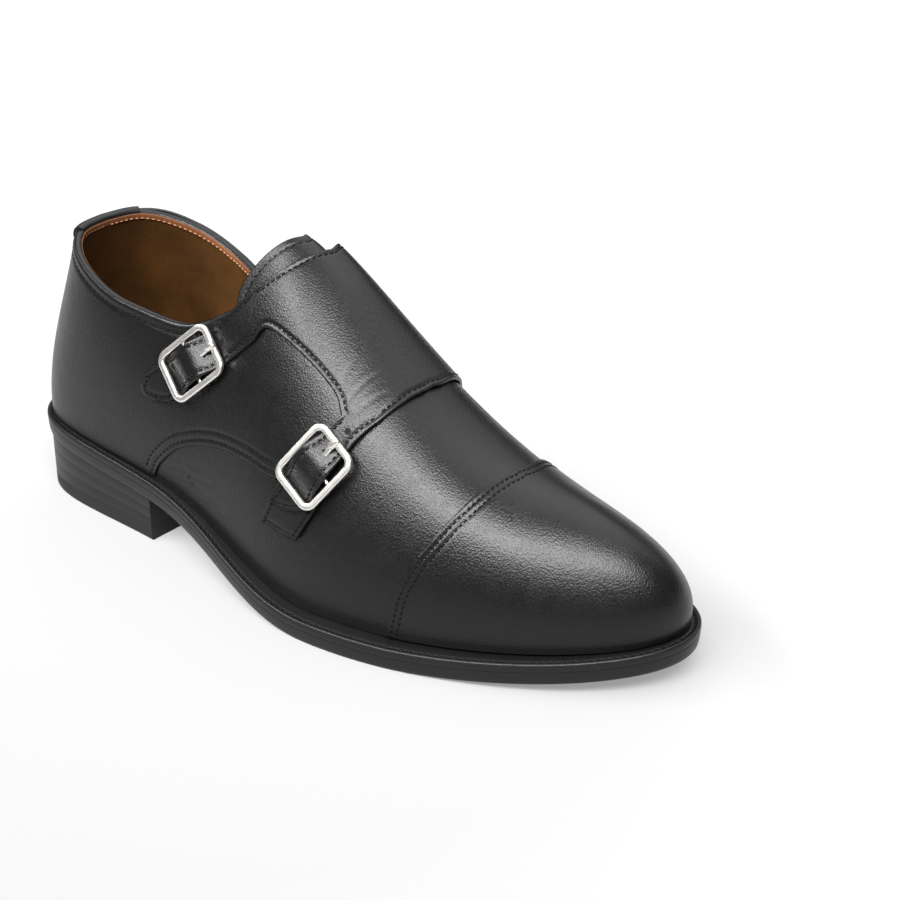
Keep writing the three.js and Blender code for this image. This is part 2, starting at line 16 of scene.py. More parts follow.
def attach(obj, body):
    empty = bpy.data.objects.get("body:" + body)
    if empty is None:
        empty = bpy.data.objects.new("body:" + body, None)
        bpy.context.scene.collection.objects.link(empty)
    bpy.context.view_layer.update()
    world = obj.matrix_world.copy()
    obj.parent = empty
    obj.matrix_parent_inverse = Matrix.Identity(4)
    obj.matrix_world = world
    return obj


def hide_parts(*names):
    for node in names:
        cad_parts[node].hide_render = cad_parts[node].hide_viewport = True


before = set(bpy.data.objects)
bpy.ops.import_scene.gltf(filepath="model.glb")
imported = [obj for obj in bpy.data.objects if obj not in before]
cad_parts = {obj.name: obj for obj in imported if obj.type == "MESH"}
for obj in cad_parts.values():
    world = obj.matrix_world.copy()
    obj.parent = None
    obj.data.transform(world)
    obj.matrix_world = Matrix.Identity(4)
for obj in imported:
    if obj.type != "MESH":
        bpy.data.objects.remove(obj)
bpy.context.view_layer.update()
scene = bpy.context.scene

# ---------------------------------------------------------------------------------------------
# Camera, floor and light: a round card for the floor, dark in its own colour and glowing white with
# painted light, two soft boxes at the outer side of the shoe, wide ones overhead and behind, and a dim studio
# round them.
# ---------------------------------------------------------------------------------------------
camera_data = bpy.data.cameras.new("camera")
camera_data.sensor_width = 36
camera_data.lens = 69.14
camera = bpy.data.objects.new("camera", camera_data)
camera.location = (0.536808, -0.448851, 0.341654)
camera.rotation_euler = Euler([math.radians(angle) for angle in (63.665, -0.506, 37.551)])
scene.collection.objects.link(camera)
scene.camera = camera
scene.view_settings.view_transform = "Standard"


class Link:
    """A node's output that takes part in sums, so that a finish reads as arithmetic."""

    def __init__(self, finish, socket):
        self.finish = finish
        self.socket = socket

    def sum(self, operation, *terms):
        return self.finish.node("ShaderNodeMath", {"operation": operation}, dict(enumerate(terms)))

    def __add__(self, other):
        return self.sum("ADD", self, other)

    def __sub__(self, other):
        return self.sum("SUBTRACT", self, other)

    def __rsub__(self, other):
        return self.sum("SUBTRACT", other, self)

    def __mul__(self, other):
        return self.sum("MULTIPLY", self, other)

    __radd__ = __add__
    __rmul__ = __mul__


class Finish:
    """A material or world and its nodes."""

    def __init__(self, owner):
        owner.use_nodes = True
        self.owner = owner
        self.tree = owner.node_tree
        self.tree.nodes.clear()

    def node(self, kind, settings=None, sockets=None, out=0):
        made = self.tree.nodes.new(kind)
        for name, value in (settings or {}).items():
            if name == "stops":
                ramp = made.color_ramp
                while len(ramp.elements) < len(value):
                    ramp.elements.new(1)
                for element, (position, color) in zip(ramp.elements, value):
                    element.position = position
                    element.color = color
            else:
                setattr(made, name, value)
        for name, value in (sockets or {}).items():
            if isinstance(value, Link):
                self.tree.links.new(value.socket, made.inputs[name])
            else:
                made.inputs[name].default_value = value
        return Link(self, made.outputs[out]) if made.outputs else made


def grey(value):
    return (value, value, value, 1)


floor_mesh = bmesh.new()
bmesh.ops.create_circle(
    floor_mesh, cap_ends=True, segments=128, radius=1.0, matrix=Matrix.Translation((0.15, 0.6, 0)),
)
floor_data = bpy.data.meshes.new("floor")
floor_mesh.to_mesh(floor_data)
floor_mesh.free()
floor = bpy.data.objects.new("floor", floor_data)
scene.collection.objects.link(floor)
paper = Finish(bpy.data.materials.new("floor_paper"))
paper_spot = paper.node("ShaderNodeTexCoord", out=3)
paper_reach = paper.node("ShaderNodeVectorMath", {"operation": "LENGTH"}, {0: paper_spot}, out=1)
paper_axes = [paper.node("ShaderNodeSeparateXYZ", None, {"Vector": paper_spot}, out=axis) for axis in (0, 1)]
# Painted light: the card glows, faintly near the shoe and more on its far side and towards its rim,
# where the lamps reach it less, so that it is white to its rim.
far_side_glow = paper.node("ShaderNodeValToRGB", {"stops": [(0.2, grey(0.14)), (0.66, grey(0.55))]}, {
    "Fac": paper_axes[1] - 0.3 * paper_axes[0] + 0.5,
})
rim_glow = paper.node("ShaderNodeValToRGB", {"stops": [(0.3, grey(0)), (0.9, grey(0.5))]}, {
    "Fac": paper_reach,
})
painted_floor_glow = paper.node("ShaderNodeVectorMath", {"operation": "ADD"}, {0: far_side_glow, 1: rim_glow})
# The card's base colour is dark; most of its white is the painted glow.
paper.node("ShaderNodeOutputMaterial", None, {
    "Surface": paper.node("ShaderNodeBsdfPrincipled", None, {
        "Base Color": grey(0.2), "Roughness": 0.9, "Specular IOR Level": 0.0,
        "Emission Color": painted_floor_glow, "Emission Strength": 1.0,
    }),
})
floor_data.materials.append(paper.owner)

# The studio: white where the camera sees it, dim near the horizon, where only the shoe reflects it.
studio = Finish(bpy.data.worlds.new("studio"))
scene.world = studio.owner
skyward = studio.node("ShaderNodeSeparateXYZ", None, {0: studio.node("ShaderNodeTexCoord", out=0)}, out=2)
dim_walls = studio.node("ShaderNodeValToRGB", {"stops": [
    (0.0, grey(0.02)), (0.25, grey(0.03)), (0.5, grey(0.12)), (1.0, grey(0.2)),
]}, {"Fac": skyward})
seen = studio.node("ShaderNodeLightPath", out=0)
walls = studio.node("ShaderNodeMix", {"data_type": "RGBA"}, {0: seen, 6: dim_walls, 7: grey(1.0)}, out=2)
studio.node("ShaderNodeOutputWorld", None, {
    "Surface": studio.node("ShaderNodeBackground", None, {"Color": walls}),
})


def soft_box(name, place, target, size, power):
    lamp = bpy.data.lights.new(name, "AREA")
    lamp.shape = "RECTANGLE"
    lamp.size, lamp.size_y = size
    lamp.energy = power
    box = bpy.data.objects.new(name, lamp)
    box.location = place
    aim = Vector(target) - Vector(place)
    box.rotation_euler = aim.to_track_quat("-Z", "Y").to_euler()
    scene.collection.objects.link(box)


soft_box("heel_side_box", (-0.432, -0.862, 1.0), (0.15, 0, 0.05), (1.3, 0.28), 30)
soft_box("toe_side_box", (0.644, -0.79, 1.16), (0.15, 0, 0.05), (1.4, 0.5), 58)
soft_box("top_box", (0.1, 0.75, 1.9), (0.15, 0, 0), (2.4, 1.4), 26)
soft_box("back_box", (-0.05, 1.15, 0.95), (0.15, 0, 0.05), (2.4, 0.7), 6)

# ---------------------------------------------------------------------------------------------
# Outsole: one bend of sole leather from toe to heel, 5.2 mm thick, with an arched waist and a toe
# spring. Its edge is trimmed square, blacked with ink and waxed. It is stitched up to the welt.
# ---------------------------------------------------------------------------------------------
MM = 0.001
GAP = 0.3
OUTSOLE_THICKNESS = 5.2
WELT_THICKNESS = 3.3
WELT_TOP = OUTSOLE_THICKNESS + WELT_THICKNESS
HEEL_BREAST_X = 75
HEEL_SEAT_Z = 25.6
HEEL_SEAT_FALL = 0.09
TREAD_START_X = 172
TREAD_END_X = 205
TOE_X = 296
TOE_SPRING = 9.4
SPRING_POWER = 1.6
# The welt's outline in rows from the heel back to the toe tip, and the ledge outside the upper.
WELT_ROWS = np.array([
    # outer x, outer y, inner x, inner y, ledge
    [-6.5, 0, -6.5, 0, 3.1],
    [-4, -24.5, -2.5, 22.5, 3.3],
    [15, -37.5, 13.5, 35.5, 3.7],
    [57, -39, 50, 35.5, 4.1],
    [96, -42.5, 92.5, 31.5, 4.9],
    [127, -52, 131.5, 30.5, 6.3],
    [158, -60, 165.5, 40, 7.5],
    [194.5, -58, 203, 49, 7.9],
    [233, -46.5, 238.5, 47.5, 7.7],
    [266.5, -30.5, 271, 40, 6.8],
    [289.5, -11.5, 292, 25, 5.6],
    [297.5, 7, 297.5, 7, 4.9],
])
TOE_ROW = len(WELT_ROWS) - 1
LOOP = 2 * TOE_ROW


def loop_of(outer, inner):
    """A column that runs once round the shoe, up the outer side and back along the inner one."""
    return np.concatenate([outer, inner[1:-1][::-1]])


welt_x = loop_of(WELT_ROWS[:, 0], WELT_ROWS[:, 2])
welt_y = loop_of(WELT_ROWS[:, 1], WELT_ROWS[:, 3])
ledge_width = loop_of(WELT_ROWS[:, 4], WELT_ROWS[:, 4])


def blend(column, place, slope=False):
    """A closed cubic B-spline through a column, or its slope per row."""
    wrapped = np.mod(place, LOOP)
    row = np.floor(wrapped).astype(int)
    f = wrapped - row
    g = 1 - f
    if slope:
        weights = (-g * g / 2, (3 * f * f - 4 * f) / 2, (-3 * f * f + 2 * f + 1) / 2, f * f / 2)
    else:
        after = (-3 * f**3 + 3 * f * f + 3 * f + 1) / 6
        weights = (g**3 / 6, (3 * f**3 - 6 * f * f + 4) / 6, after, f**3 / 6)
    return sum(weight * column[(row - 1 + k) % LOOP] for k, weight in enumerate(weights))


def under_sole(x):
    """Height of the outsole's underside over the floor: heel seat, waist, tread and toe spring."""
    breast_z = HEEL_SEAT_Z - HEEL_SEAT_FALL * HEEL_BREAST_X
    run = TREAD_START_X - HEEL_BREAST_X
    s = np.clip((x - HEEL_BREAST_X) / run, 0, 1)
    waist = breast_z * (1 + 2 * s) * (1 - s) ** 2 - HEEL_SEAT_FALL * run * s * (1 - s) ** 2
    spring = TOE_SPRING * (np.clip(x - TREAD_END_X, 0, None) / (TOE_X - TREAD_END_X)) ** SPRING_POWER
    forward = np.where(x < TREAD_START_X, waist, spring)
    return np.where(x <= HEEL_BREAST_X, HEEL_SEAT_Z - HEEL_SEAT_FALL * x, forward)


def outline(place, inset=0.0):
    """A place on the welt's outline moved inwards, and the way out from it."""
    dx = blend(welt_x, place, True)
    dy = blend(welt_y, place, True)
    length = np.hypot(dx, dy)
    out_x = dy / length
    out_y = -dx / length
    return blend(welt_x, place) - out_x * inset, blend(welt_y, place) - out_y * inset, out_x, out_y


def warped_grid(bm, columns, rows, points_at):
    """A flat grid, s and t from 0 to 1, that is carried to points_at(s, t) in millimetres."""
    made = bmesh.ops.create_grid(bm, x_segments=columns, y_segments=rows, size=0.5)["verts"]
    flat = np.array([vert.co for vert in made]) + 0.5
    for vert, point in zip(made, points_at(flat[:, 0], flat[:, 1]) * MM):
        vert.co = point
    return made


def close_ends(bm):
    """Joins a rolled-up grid along its seam and closes both its ends."""
    bmesh.ops.remove_doubles(bm, verts=bm.verts, dist=1e-6)
    bmesh.ops.holes_fill(bm, edges=bm.edges, sides=0)


def make_piece(name, bm, finish, slot, *nodes, sharp=40):
    """Turns a closed mesh into a piece of the shoe that stands for the named nodes."""
    bmesh.ops.remove_doubles(bm, verts=bm.verts, dist=1e-6)
    bmesh.ops.recalc_face_normals(bm, faces=bm.faces)
    for face in bm.faces:
        face.smooth = True
    for edge in bm.edges:
        edge.smooth = not (edge.is_manifold and edge.calc_face_angle() > math.radians(sharp))
    mesh = bpy.data.meshes.new(name)
    bm.to_mesh(mesh)
    bm.free()
    mesh.materials.append(finish.owner)
    piece = bpy.data.objects.new(name, mesh)
    scene.collection.objects.link(piece)
    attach(piece, "root")
    if nodes:
        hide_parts(*nodes)
    return piece


def place_at_x(x, inset, inner):
    """The place on one side where the outline, moved in, reaches x."""
    places = np.linspace(0.5, TOE_ROW - 2, 4000)
    reached = outline(LOOP - places if inner else places, inset)[0]
    return np.interp(x, reached, places)


def sole_slab(ribs, cells, edge, bottom, top, ends=(TOE_ROW, TOE_ROW), inside_feather=False):
    """A slab of sole whose ribs run from side to side. edge lists [inset, level] up its wall."""
    inset = np.array([row[0] for row in edge], float)
    level = np.array([row[1] for row in edge], float)
    across = np.linspace(0, 1, cells + 1)
    side = np.concatenate([1 - across, np.zeros(len(edge) - 2), across, np.ones(len(edge) - 2)])
    steps = len(side)

    def once_round(wall):
        """Along the underside, up the outer edge, back over the top and down the inner edge."""
        under = np.full(cells + 1, wall[0])
        over = np.full(cells + 1, wall[-1])
        return np.concatenate([under, wall[1:-1], over, wall[-2:0:-1]])

    moved = once_round(inset)
    raised = once_round(level)

    def points_at(s, t):
        k = np.round(t * steps).astype(int) % steps
        ledge = blend(ledge_width, ends[0] * s) if inside_feather else 0
        outer = outline(ends[0] * s, moved[k] + ledge)
        inner = outline(LOOP - ends[1] * s, moved[k] + ledge)
        x = outer[0] + (inner[0] - outer[0]) * side[k]
        y = outer[1] + (inner[1] - outer[1]) * side[k]
        return np.stack([x, y, bottom(x) + (top(x) - bottom(x)) * raised[k]], 1)

    bm = bmesh.new()
    warped_grid(bm, ribs, steps, points_at)
    close_ends(bm)
    return bm


def edge_finish(name, tone, roughness, streak):
    """Blacked and waxed leather edge, with fine streaks from trimming that run along the edge."""
    ink = Finish(bpy.data.materials.new(name))
    spot = ink.node("ShaderNodeTexCoord", out=3)
    stretched = ink.node("ShaderNodeVectorMath", {"operation": "MULTIPLY"}, {0: spot, 1: (60, 60, 1500)})
    trimming = ink.node("ShaderNodeTexNoise", None, {"Vector": stretched, "Scale": 1, "Detail": 4}, out=0)
    cloud = ink.node("ShaderNodeTexNoise", None, {"Vector": spot, "Scale": 45, "Detail": 3}, out=0)
    bump = ink.node("ShaderNodeBump", None, {"Height": trimming, "Strength": streak, "Distance": 0.0002})
    shade = ink.node("ShaderNodeMix", {"data_type": "RGBA"}, {
        0: cloud, 6: grey(tone * 0.7), 7: grey(tone * 1.4),
    }, out=2)
    ink.node("ShaderNodeOutputMaterial", None, {"Surface": ink.node("ShaderNodeBsdfPrincipled", None, {
        "Base Color": shade, "Roughness": roughness + 0.14 * (cloud - 0.5) + 0.1 * (trimming - 0.5),
        "Specular IOR Level": 0.3, "Normal": bump,
    })})
    return ink


blacked_edge = edge_finish("blacked_edge", 0.004, 0.4, 0.35)
SOLE_EDGE = [
    # inset, level
    [1.5, 0], [0.9, 0.03], [0.6, 0.12], [0.4, 0.35], [0.28, 0.62], [0.2, 0.86], [0.2, 0.95], [0.3, 1],
]
outsole = sole_slab(180, 14, SOLE_EDGE, under_sole, lambda x: under_sole(x) + OUTSOLE_THICKNESS)
make_piece("outsole_leather", outsole, blacked_edge, "sole_edge", "outsole", sharp=50)

# ---------------------------------------------------------------------------------------------
# Welt: a strip of leather sewn round the feather, 3.3 mm thick, that shows as a ledge outside the
# upper. Its upper face is wheeled and carries the stitches that hold the outsole.
# ---------------------------------------------------------------------------------------------
WELT_UNDER_UPPER = 1.6
WELT_SECTION = [
    # inset, level; the groove lies where the stitches sink in
    [0.22, 0], [0.14, 0.08], [0.08, 0.3], [0.1, 0.66], [0.3, 0.88], [0.65, 1],
    [1.3, 1.0], [1.75, 0.9], [2.2, 0.84], [2.65, 0.9], [3.0, 0.98], [3.3, 0.98],
]
WELT_STITCH_INSET = 2.2
welt_inset = np.array([row[0] for row in WELT_SECTION] + [0, 0], float)
welt_level = np.array([row[1] for row in WELT_SECTION] + [0.96, 0], float)
WELT_CORNERS = len(welt_inset)


def welt_points(s, t):
    place = LOOP * s
    corner = np.round(t * WELT_CORNERS).astype(int) % WELT_CORNERS
    reach = blend(ledge_width, place) + WELT_UNDER_UPPER
    inset = np.where(corner >= WELT_CORNERS - 2, reach, welt_inset[corner])
    x, y, _, _ = outline(place, inset)
    base = under_sole(x) + OUTSOLE_THICKNESS + GAP / 2
    return np.stack([x, y, base + welt_level[corner] * (WELT_THICKNESS - GAP / 2)], 1)


welt = bmesh.new()
warped_grid(welt, 440, WELT_CORNERS, welt_points)
make_piece("welt_strip", welt, blacked_edge, "sole_edge", "welt", sharp=60)


def thread_finish(name, color):
    """Waxed thread with its twist."""
    thread = Finish(bpy.data.materials.new(name))
    spot = thread.node("ShaderNodeTexCoord", out=3)
    twist = thread.node("ShaderNodeTexNoise", None, {"Vector": spot, "Scale": 4000, "Detail": 1}, out=0)
    bump = thread.node("ShaderNodeBump", None, {"Height": twist, "Strength": 0.5, "Distance": 0.0001})
    thread.node("ShaderNodeOutputMaterial", None, {"Surface": thread.node("ShaderNodeBsdfPrincipled", None, {
        "Base Color": color, "Roughness": 0.55 + 0.2 * (twist - 0.5), "Specular IOR Level": 0.1,
        "Normal": bump,
    })})
    return thread


black_thread = thread_finish("black_thread", grey(0.003))


LOOK_AHEAD = 0.3


def along(points, pitch):
    """Evenly spaced points and directions along a line of points, in millimetres."""
    steps = np.linalg.norm(np.diff(points, axis=0), axis=1)
    run = np.concatenate([[0], np.cumsum(steps)])
    count = max(2, int(run[-1] / pitch))
    at = (np.arange(count) + 0.5) * run[-1] / count
    spots = np.stack([np.interp(at, run, points[:, k]) for k in range(3)], 1)
    ahead = np.stack([np.interp(at + LOOK_AHEAD, run, points[:, k]) for k in range(3)], 1)
    behind = np.stack([np.interp(at - LOOK_AHEAD, run, points[:, k]) for k in range(3)], 1)
    return spots, ahead - behind


def sew(bm, spots, directions, normals, length, width, sink=0.0):
    """One stitch at each spot: a short roll of thread that dives into the leather at both ends."""
    for spot, direction, normal in zip(spots, directions, normals):
        forward = Vector(direction).normalized()
        upward = (Vector(normal) - forward * forward.dot(Vector(normal))).normalized()
        turned = Matrix((forward, upward.cross(forward), upward)).transposed().to_4x4()
        turned.translation = (Vector(spot) - upward * sink) * MM
        size = Matrix.Diagonal((length / 2, width / 2, width / 2, 1))
        bmesh.ops.create_uvsphere(bm, u_segments=6, v_segments=5, radius=MM, matrix=turned @ size)


welt_thread = bmesh.new()
stitch_x, stitch_y, _, _ = outline(np.linspace(0, LOOP, 3000), WELT_STITCH_INSET)
spots, directions = along(np.stack([stitch_x, stitch_y, under_sole(stitch_x) + WELT_TOP], 1), 2.9)
sew(welt_thread, spots, directions, np.tile([0, 0, 1.0], (len(spots), 1)), 2.7, 1.0, sink=0.35)
make_piece("welt_stitches", welt_thread, black_thread, "sole_edge", sharp=80)

# ---------------------------------------------------------------------------------------------
# Heel: lifts of sole leather pegged and glued in a stack, trimmed and blacked with the edge, over
# a rubber piece that takes the wear. Fine lines show where one lift meets the next.
# ---------------------------------------------------------------------------------------------
HEEL_INSET = 1.4
TOP_PIECE_THICKNESS = 6
LIFTS = 3
# Where two lifts meet: half the line's height, as a share of the stack, and how deep it goes.
LIFT_LINE = 0.006
LIFT_LINE_DEPTH = 0.025
heel_ends = (place_at_x(HEEL_BREAST_X, HEEL_INSET, False), place_at_x(HEEL_BREAST_X, HEEL_INSET, True))
lift_edge = [[HEEL_INSET + 0.3, 0]]
for lift in range(LIFTS):
    low = lift / LIFTS
    high = (lift + 1) / LIFTS
    lift_edge += [
        [HEEL_INSET, low + LIFT_LINE], [HEEL_INSET, high - LIFT_LINE], [HEEL_INSET + LIFT_LINE_DEPTH, high],
    ]


def flat_at(z):
    return lambda x: np.full_like(x, z)


heel_stack = sole_slab(
    90, 8, lift_edge, flat_at(TOP_PIECE_THICKNESS + GAP / 2), lambda x: under_sole(x) - GAP / 2, heel_ends,
)
make_piece("heel_lifts", heel_stack, blacked_edge, "sole_edge", "heel_stack", sharp=50)

rubber = edge_finish("heel_rubber", 0.006, 0.62, 0.2)
TOP_PIECE_EDGE = [
    # inset, level
    [HEEL_INSET + 0.9, 0], [HEEL_INSET + 0.3, 0.06], [HEEL_INSET, 0.2], [HEEL_INSET, 0.9],
    [HEEL_INSET + 0.2, 1],
]
top_piece = sole_slab(90, 8, TOP_PIECE_EDGE, flat_at(0), flat_at(TOP_PIECE_THICKNESS), heel_ends)
make_piece("heel_rubber_piece", top_piece, rubber, "rubber", "heel_top_piece", sharp=50)

# ---------------------------------------------------------------------------------------------
# Insole: a leather footbed that lies inside the upper on the outsole. A sock of the lining's brown
# suede is glued over it and hides it.
# ---------------------------------------------------------------------------------------------
WALL = 2.2
INSOLE_RISE = 2.4
SOCK_EDGE = [
    # inset, level
    [WALL + 0.8, 0], [WALL + 0.6, 0.2], [WALL + 0.6, 0.85], [WALL + 0.9, 1],
]


def hide_finish(name, dark, light, roughness, grain):
    """Suede or tan leather, cloudy in tone, with its nap or grain as bump."""
    hide = Finish(bpy.data.materials.new(name))
    spot = hide.node("ShaderNodeTexCoord", out=3)
    cloud = hide.node("ShaderNodeTexNoise", None, {
        "Vector": spot, "Scale": 38, "Detail": 5, "Roughness": 0.6,
    }, out=0)
    nap = hide.node("ShaderNodeTexNoise", None, {"Vector": spot, "Scale": 1300, "Detail": 3}, out=0)
    tone = hide.node("ShaderNodeValToRGB", {"stops": [(0.3, dark), (0.7, light)]}, {
        "Fac": cloud + 0.35 * (nap - 0.5),
    })
    bump = hide.node("ShaderNodeBump", None, {"Height": nap, "Strength": grain, "Distance": 0.0002})
    hide.node("ShaderNodeOutputMaterial", None, {"Surface": hide.node("ShaderNodeBsdfPrincipled", None, {
        "Base Color": tone, "Roughness": roughness + 0.1 * (cloud - 0.5), "Specular IOR Level": 0.1,
        "Normal": bump,
    })})
    return hide


suede = hide_finish("brown_suede", (0.026, 0.01, 0.0018, 1), (0.062, 0.025, 0.005, 1), 0.85, 0.6)
sock = sole_slab(
    120, 10, SOCK_EDGE,
    lambda x: under_sole(x) + OUTSOLE_THICKNESS + GAP, lambda x: under_sole(x) + WELT_TOP + INSOLE_RISE,
    inside_feather=True,
)
make_piece("insole_sock", sock, suede, "footbed", "insole")

# ---------------------------------------------------------------------------------------------
# Vamp: black box calf, lasted from the throat to the toe and tucked under the quarters. It is one
# skin 1.2 mm thick, pulled tight, with a few fine creases at the waist of the outer side.
# ---------------------------------------------------------------------------------------------
# The last: the top of each section is an ankle line down to row 3, then the ridge of the instep.
TOP_ROWS = np.array([
    # x, outer y, inner y, z
    [17, 0, 0, 126],
    [22, -19, 19, 127],
    [42, -28.5, 28.5, 129],
    [68, -28, 27, 132],
    [95, 1, 1, 137],
    [122, 4.5, 4.5, 134],
    [146, 2, 2, 118.5],
    [169.5, -0.5, -0.5, 98],
    [196, -1.5, -1.5, 77.5],
    [222, -0.5, -0.5, 63.5],
    [247, 2, 2, 58],
    [263.5, 4, 4, 53],
])
# How each section leaves the feather (rise and swell) and arrives at its top (crown and drop).
WALL_ROWS = np.array([
    # outer rise, inner rise, outer swell, inner swell, outer crown, inner crown, drop
    [32.5, 32.5, 2, 2, 4, 4, 34],
    [30.5, 34, 0, 5, 5, 5, 34],
    [30, 34, 1, 4, 7, 7, 34],
    [31.5, 35, 2, 2, 11, 11, 30],
    [32.5, 37.5, 3, -1, 16, 16.5, 16],
    [34, 37, 2.5, -1.5, 22, 20.5, 4],
    [30, 32.5, 3, 0.5, 28, 22.5, 0],
    [26, 26, 3, 2.5, 33, 23.5, 0],
    [24, 22, 3, 3.5, 33, 21.5, 0],
    [22.5, 21, 3.5, 5.5, 26, 18.5, 0],
    [20, 20, 3, 6.5, 18.5, 16, 0],
    [19, 19, 6, 6, 15, 15, 0],
])
top_x = loop_of(TOP_ROWS[:, 0], TOP_ROWS[:, 0])
top_y = loop_of(TOP_ROWS[:, 1], TOP_ROWS[:, 2])
top_z = loop_of(TOP_ROWS[:, 3], TOP_ROWS[:, 3])
wall_rise = loop_of(WALL_ROWS[:, 0], WALL_ROWS[:, 1])
wall_swell = loop_of(WALL_ROWS[:, 2], WALL_ROWS[:, 3])
wall_crown = loop_of(WALL_ROWS[:, 4], WALL_ROWS[:, 5])
wall_drop = loop_of(WALL_ROWS[:, 6], WALL_ROWS[:, 6])
TURNING = 0.02


def last_point(place, up):
    """A point of the last, a number of rows round the shoe and a share of the way up its side."""
    x, y, out_x, out_y = outline(place, blend(ledge_width, place))
    feather = np.stack([x, y, under_sole(x) + WELT_TOP + GAP], 1)
    top = np.stack([blend(top_x, place), blend(top_y, place), blend(top_z, place)], 1)
    steady = np.mod(place, LOOP)
    steady = np.where(np.abs(steady - TOE_ROW) < TURNING, TOE_ROW - TURNING, steady)
    steady = np.where((steady < TURNING) | (steady > LOOP - TURNING), TURNING, steady)
    slope = blend(top_z, steady, True) / blend(top_x, steady, True)
    swell = blend(wall_swell, place)
    crown = blend(wall_crown, place)
    low = feather + np.stack([swell * out_x, swell * out_y, blend(wall_rise, place)], 1)
    high = top + np.stack([crown * out_x, crown * out_y, crown * out_x * slope - blend(wall_drop, place)], 1)
    v = up[:, None]
    w = 1 - v
    return feather * w**3 + low * 3 * w * w * v + high * 3 * w * v * v + top * v**3


def sides(row, girth):
    """A girth of 0 to 1 climbs the outer side to the ridge, and 1 to 2 goes down the inner side."""
    inner = girth > 1
    return np.where(inner, LOOP - row, row), np.where(inner, 2 - girth, girth)


def surface_point(row, girth):
    place, up = sides(row, girth)
    point = last_point(place, up)
    ridge = np.abs(girth - 1) < 1e-9
    if ridge.any():
        point[ridge] = (point[ridge] + last_point(LOOP - place[ridge], up[ridge])) / 2
    return point


BELOW_RIDGE = 0.985


def surface_normal(row, girth):
    """The way out from the last. Up to the ridge it stays that of a place just below it."""
    place, up = sides(row, girth)
    up = np.minimum(up, BELOW_RIDGE)
    step = 0.002
    ahead = last_point(place + step, up) - last_point(place - step, up)
    upward = last_point(place, up + step) - last_point(place, up - step)
    normal = np.cross(ahead, upward)
    return normal / np.linalg.norm(normal, axis=1)[:, None]


def skin(row, girth, height):
    """A point at a height over the last, in millimetres."""
    row = np.atleast_1d(np.asarray(row, float))
    girth = np.atleast_1d(np.asarray(girth, float))
    height = np.broadcast_to(np.asarray(height, float), row.shape)
    return surface_point(row, girth) + surface_normal(row, girth) * height[:, None]


def pattern_line(places):
    """A smooth line through [row, girth] places, read by s from 0 to 1 along its chords."""
    points = np.array(places, float)
    padded = np.vstack([2 * points[0] - points[1], points, 2 * points[-1] - points[-2]])
    count = len(points) - 1

    def read(s):
        position = np.clip(np.asarray(s, float), 0, 1) * count
        k = np.minimum(position.astype(int), count - 1)
        f = (position - k)[..., None]
        a, b, c, d = (padded[k + j] for j in range(4))
        curved = b + 0.5 * f * (c - a + f * (2 * a - 5 * b + 4 * c - d + f * (3 * (b - c) + d - a)))
        return np.moveaxis(curved, -1, 0)

    return read


def mix(a, b, s):
    return a + (b - a) * s


def mirrored(curve):
    def read(s):
        row, girth = curve(s)
        return np.stack([row, 2 - girth])
    return read


def gather(s, share=0.8):
    """Draws a grid's lines together at both ends, where a leather's edges and stitches are."""
    return s - share * np.sin(2 * math.pi * s) / (2 * math.pi)


def cut_leather(*sheets):
    """Cuts one piece from sheets of (columns, rows, places), each a map from s, t to row, girth."""
    bm = bmesh.new()
    row_of = bm.verts.layers.float.new("row")
    girth_of = bm.verts.layers.float.new("girth")
    for columns, rows, places in sheets:
        cut = {}

        def points_at(s, t, places=places, cut=cut):
            cut["row"], cut["girth"] = places(s, t)
            return skin(cut["row"], cut["girth"], 0)

        for vert, row, girth in zip(warped_grid(bm, columns, rows, points_at), cut["row"], cut["girth"]):
            vert[row_of] = row
            vert[girth_of] = girth
    bmesh.ops.remove_doubles(bm, verts=bm.verts, dist=2e-6)
    return bm


def last_leather(bm, under, over):
    """Gives the cut piece its thickness, between two heights over the last."""
    row_of = bm.verts.layers.float["row"]
    girth_of = bm.verts.layers.float["girth"]
    low = list(bm.verts)
    raised = bmesh.ops.extrude_face_region(bm, geom=bm.faces[:], use_keep_orig=True)["geom"]
    high = [part for part in raised if isinstance(part, bmesh.types.BMVert)]
    for verts, height in ((low, under), (high, over)):
        row = np.array([vert[row_of] for vert in verts])
        girth = np.array([vert[girth_of] for vert in verts])
        level = height(row, girth, surface_point(row, girth)) if callable(height) else height
        for vert, point in zip(verts, skin(row, girth, level) * MM):
            vert.co = point
    return bm


def line_points(*curves, count=700):
    s = np.linspace(0, 1, count)
    return np.vstack([skin(*curve(s), 0) for curve in curves])


def distance_from(line):
    """A function that gives how far points lie from a line of points, in millimetres."""
    tree = KDTree(len(line))
    for index, point in enumerate(line):
        tree.insert(point, index)
    tree.balance()
    return lambda points: np.array([tree.find(point)[2] for point in points])


def turned_edge(distance, radius):
    """How far a leather's face drops where its edge is turned in or skived round."""
    inside = np.clip(radius - distance, 0, radius)
    return radius - np.sqrt(radius**2 - inside**2)


def groove(distance, at, width, depth):
    return depth * np.exp(-(((distance - at) / width) ** 2))


def crease(distance, width, depth, swell):
    """A furrow with a low swell beside it, as where calf has been bent."""
    return groove(distance, 1.7 * width, width, swell * depth) - groove(distance, 0, width, depth)


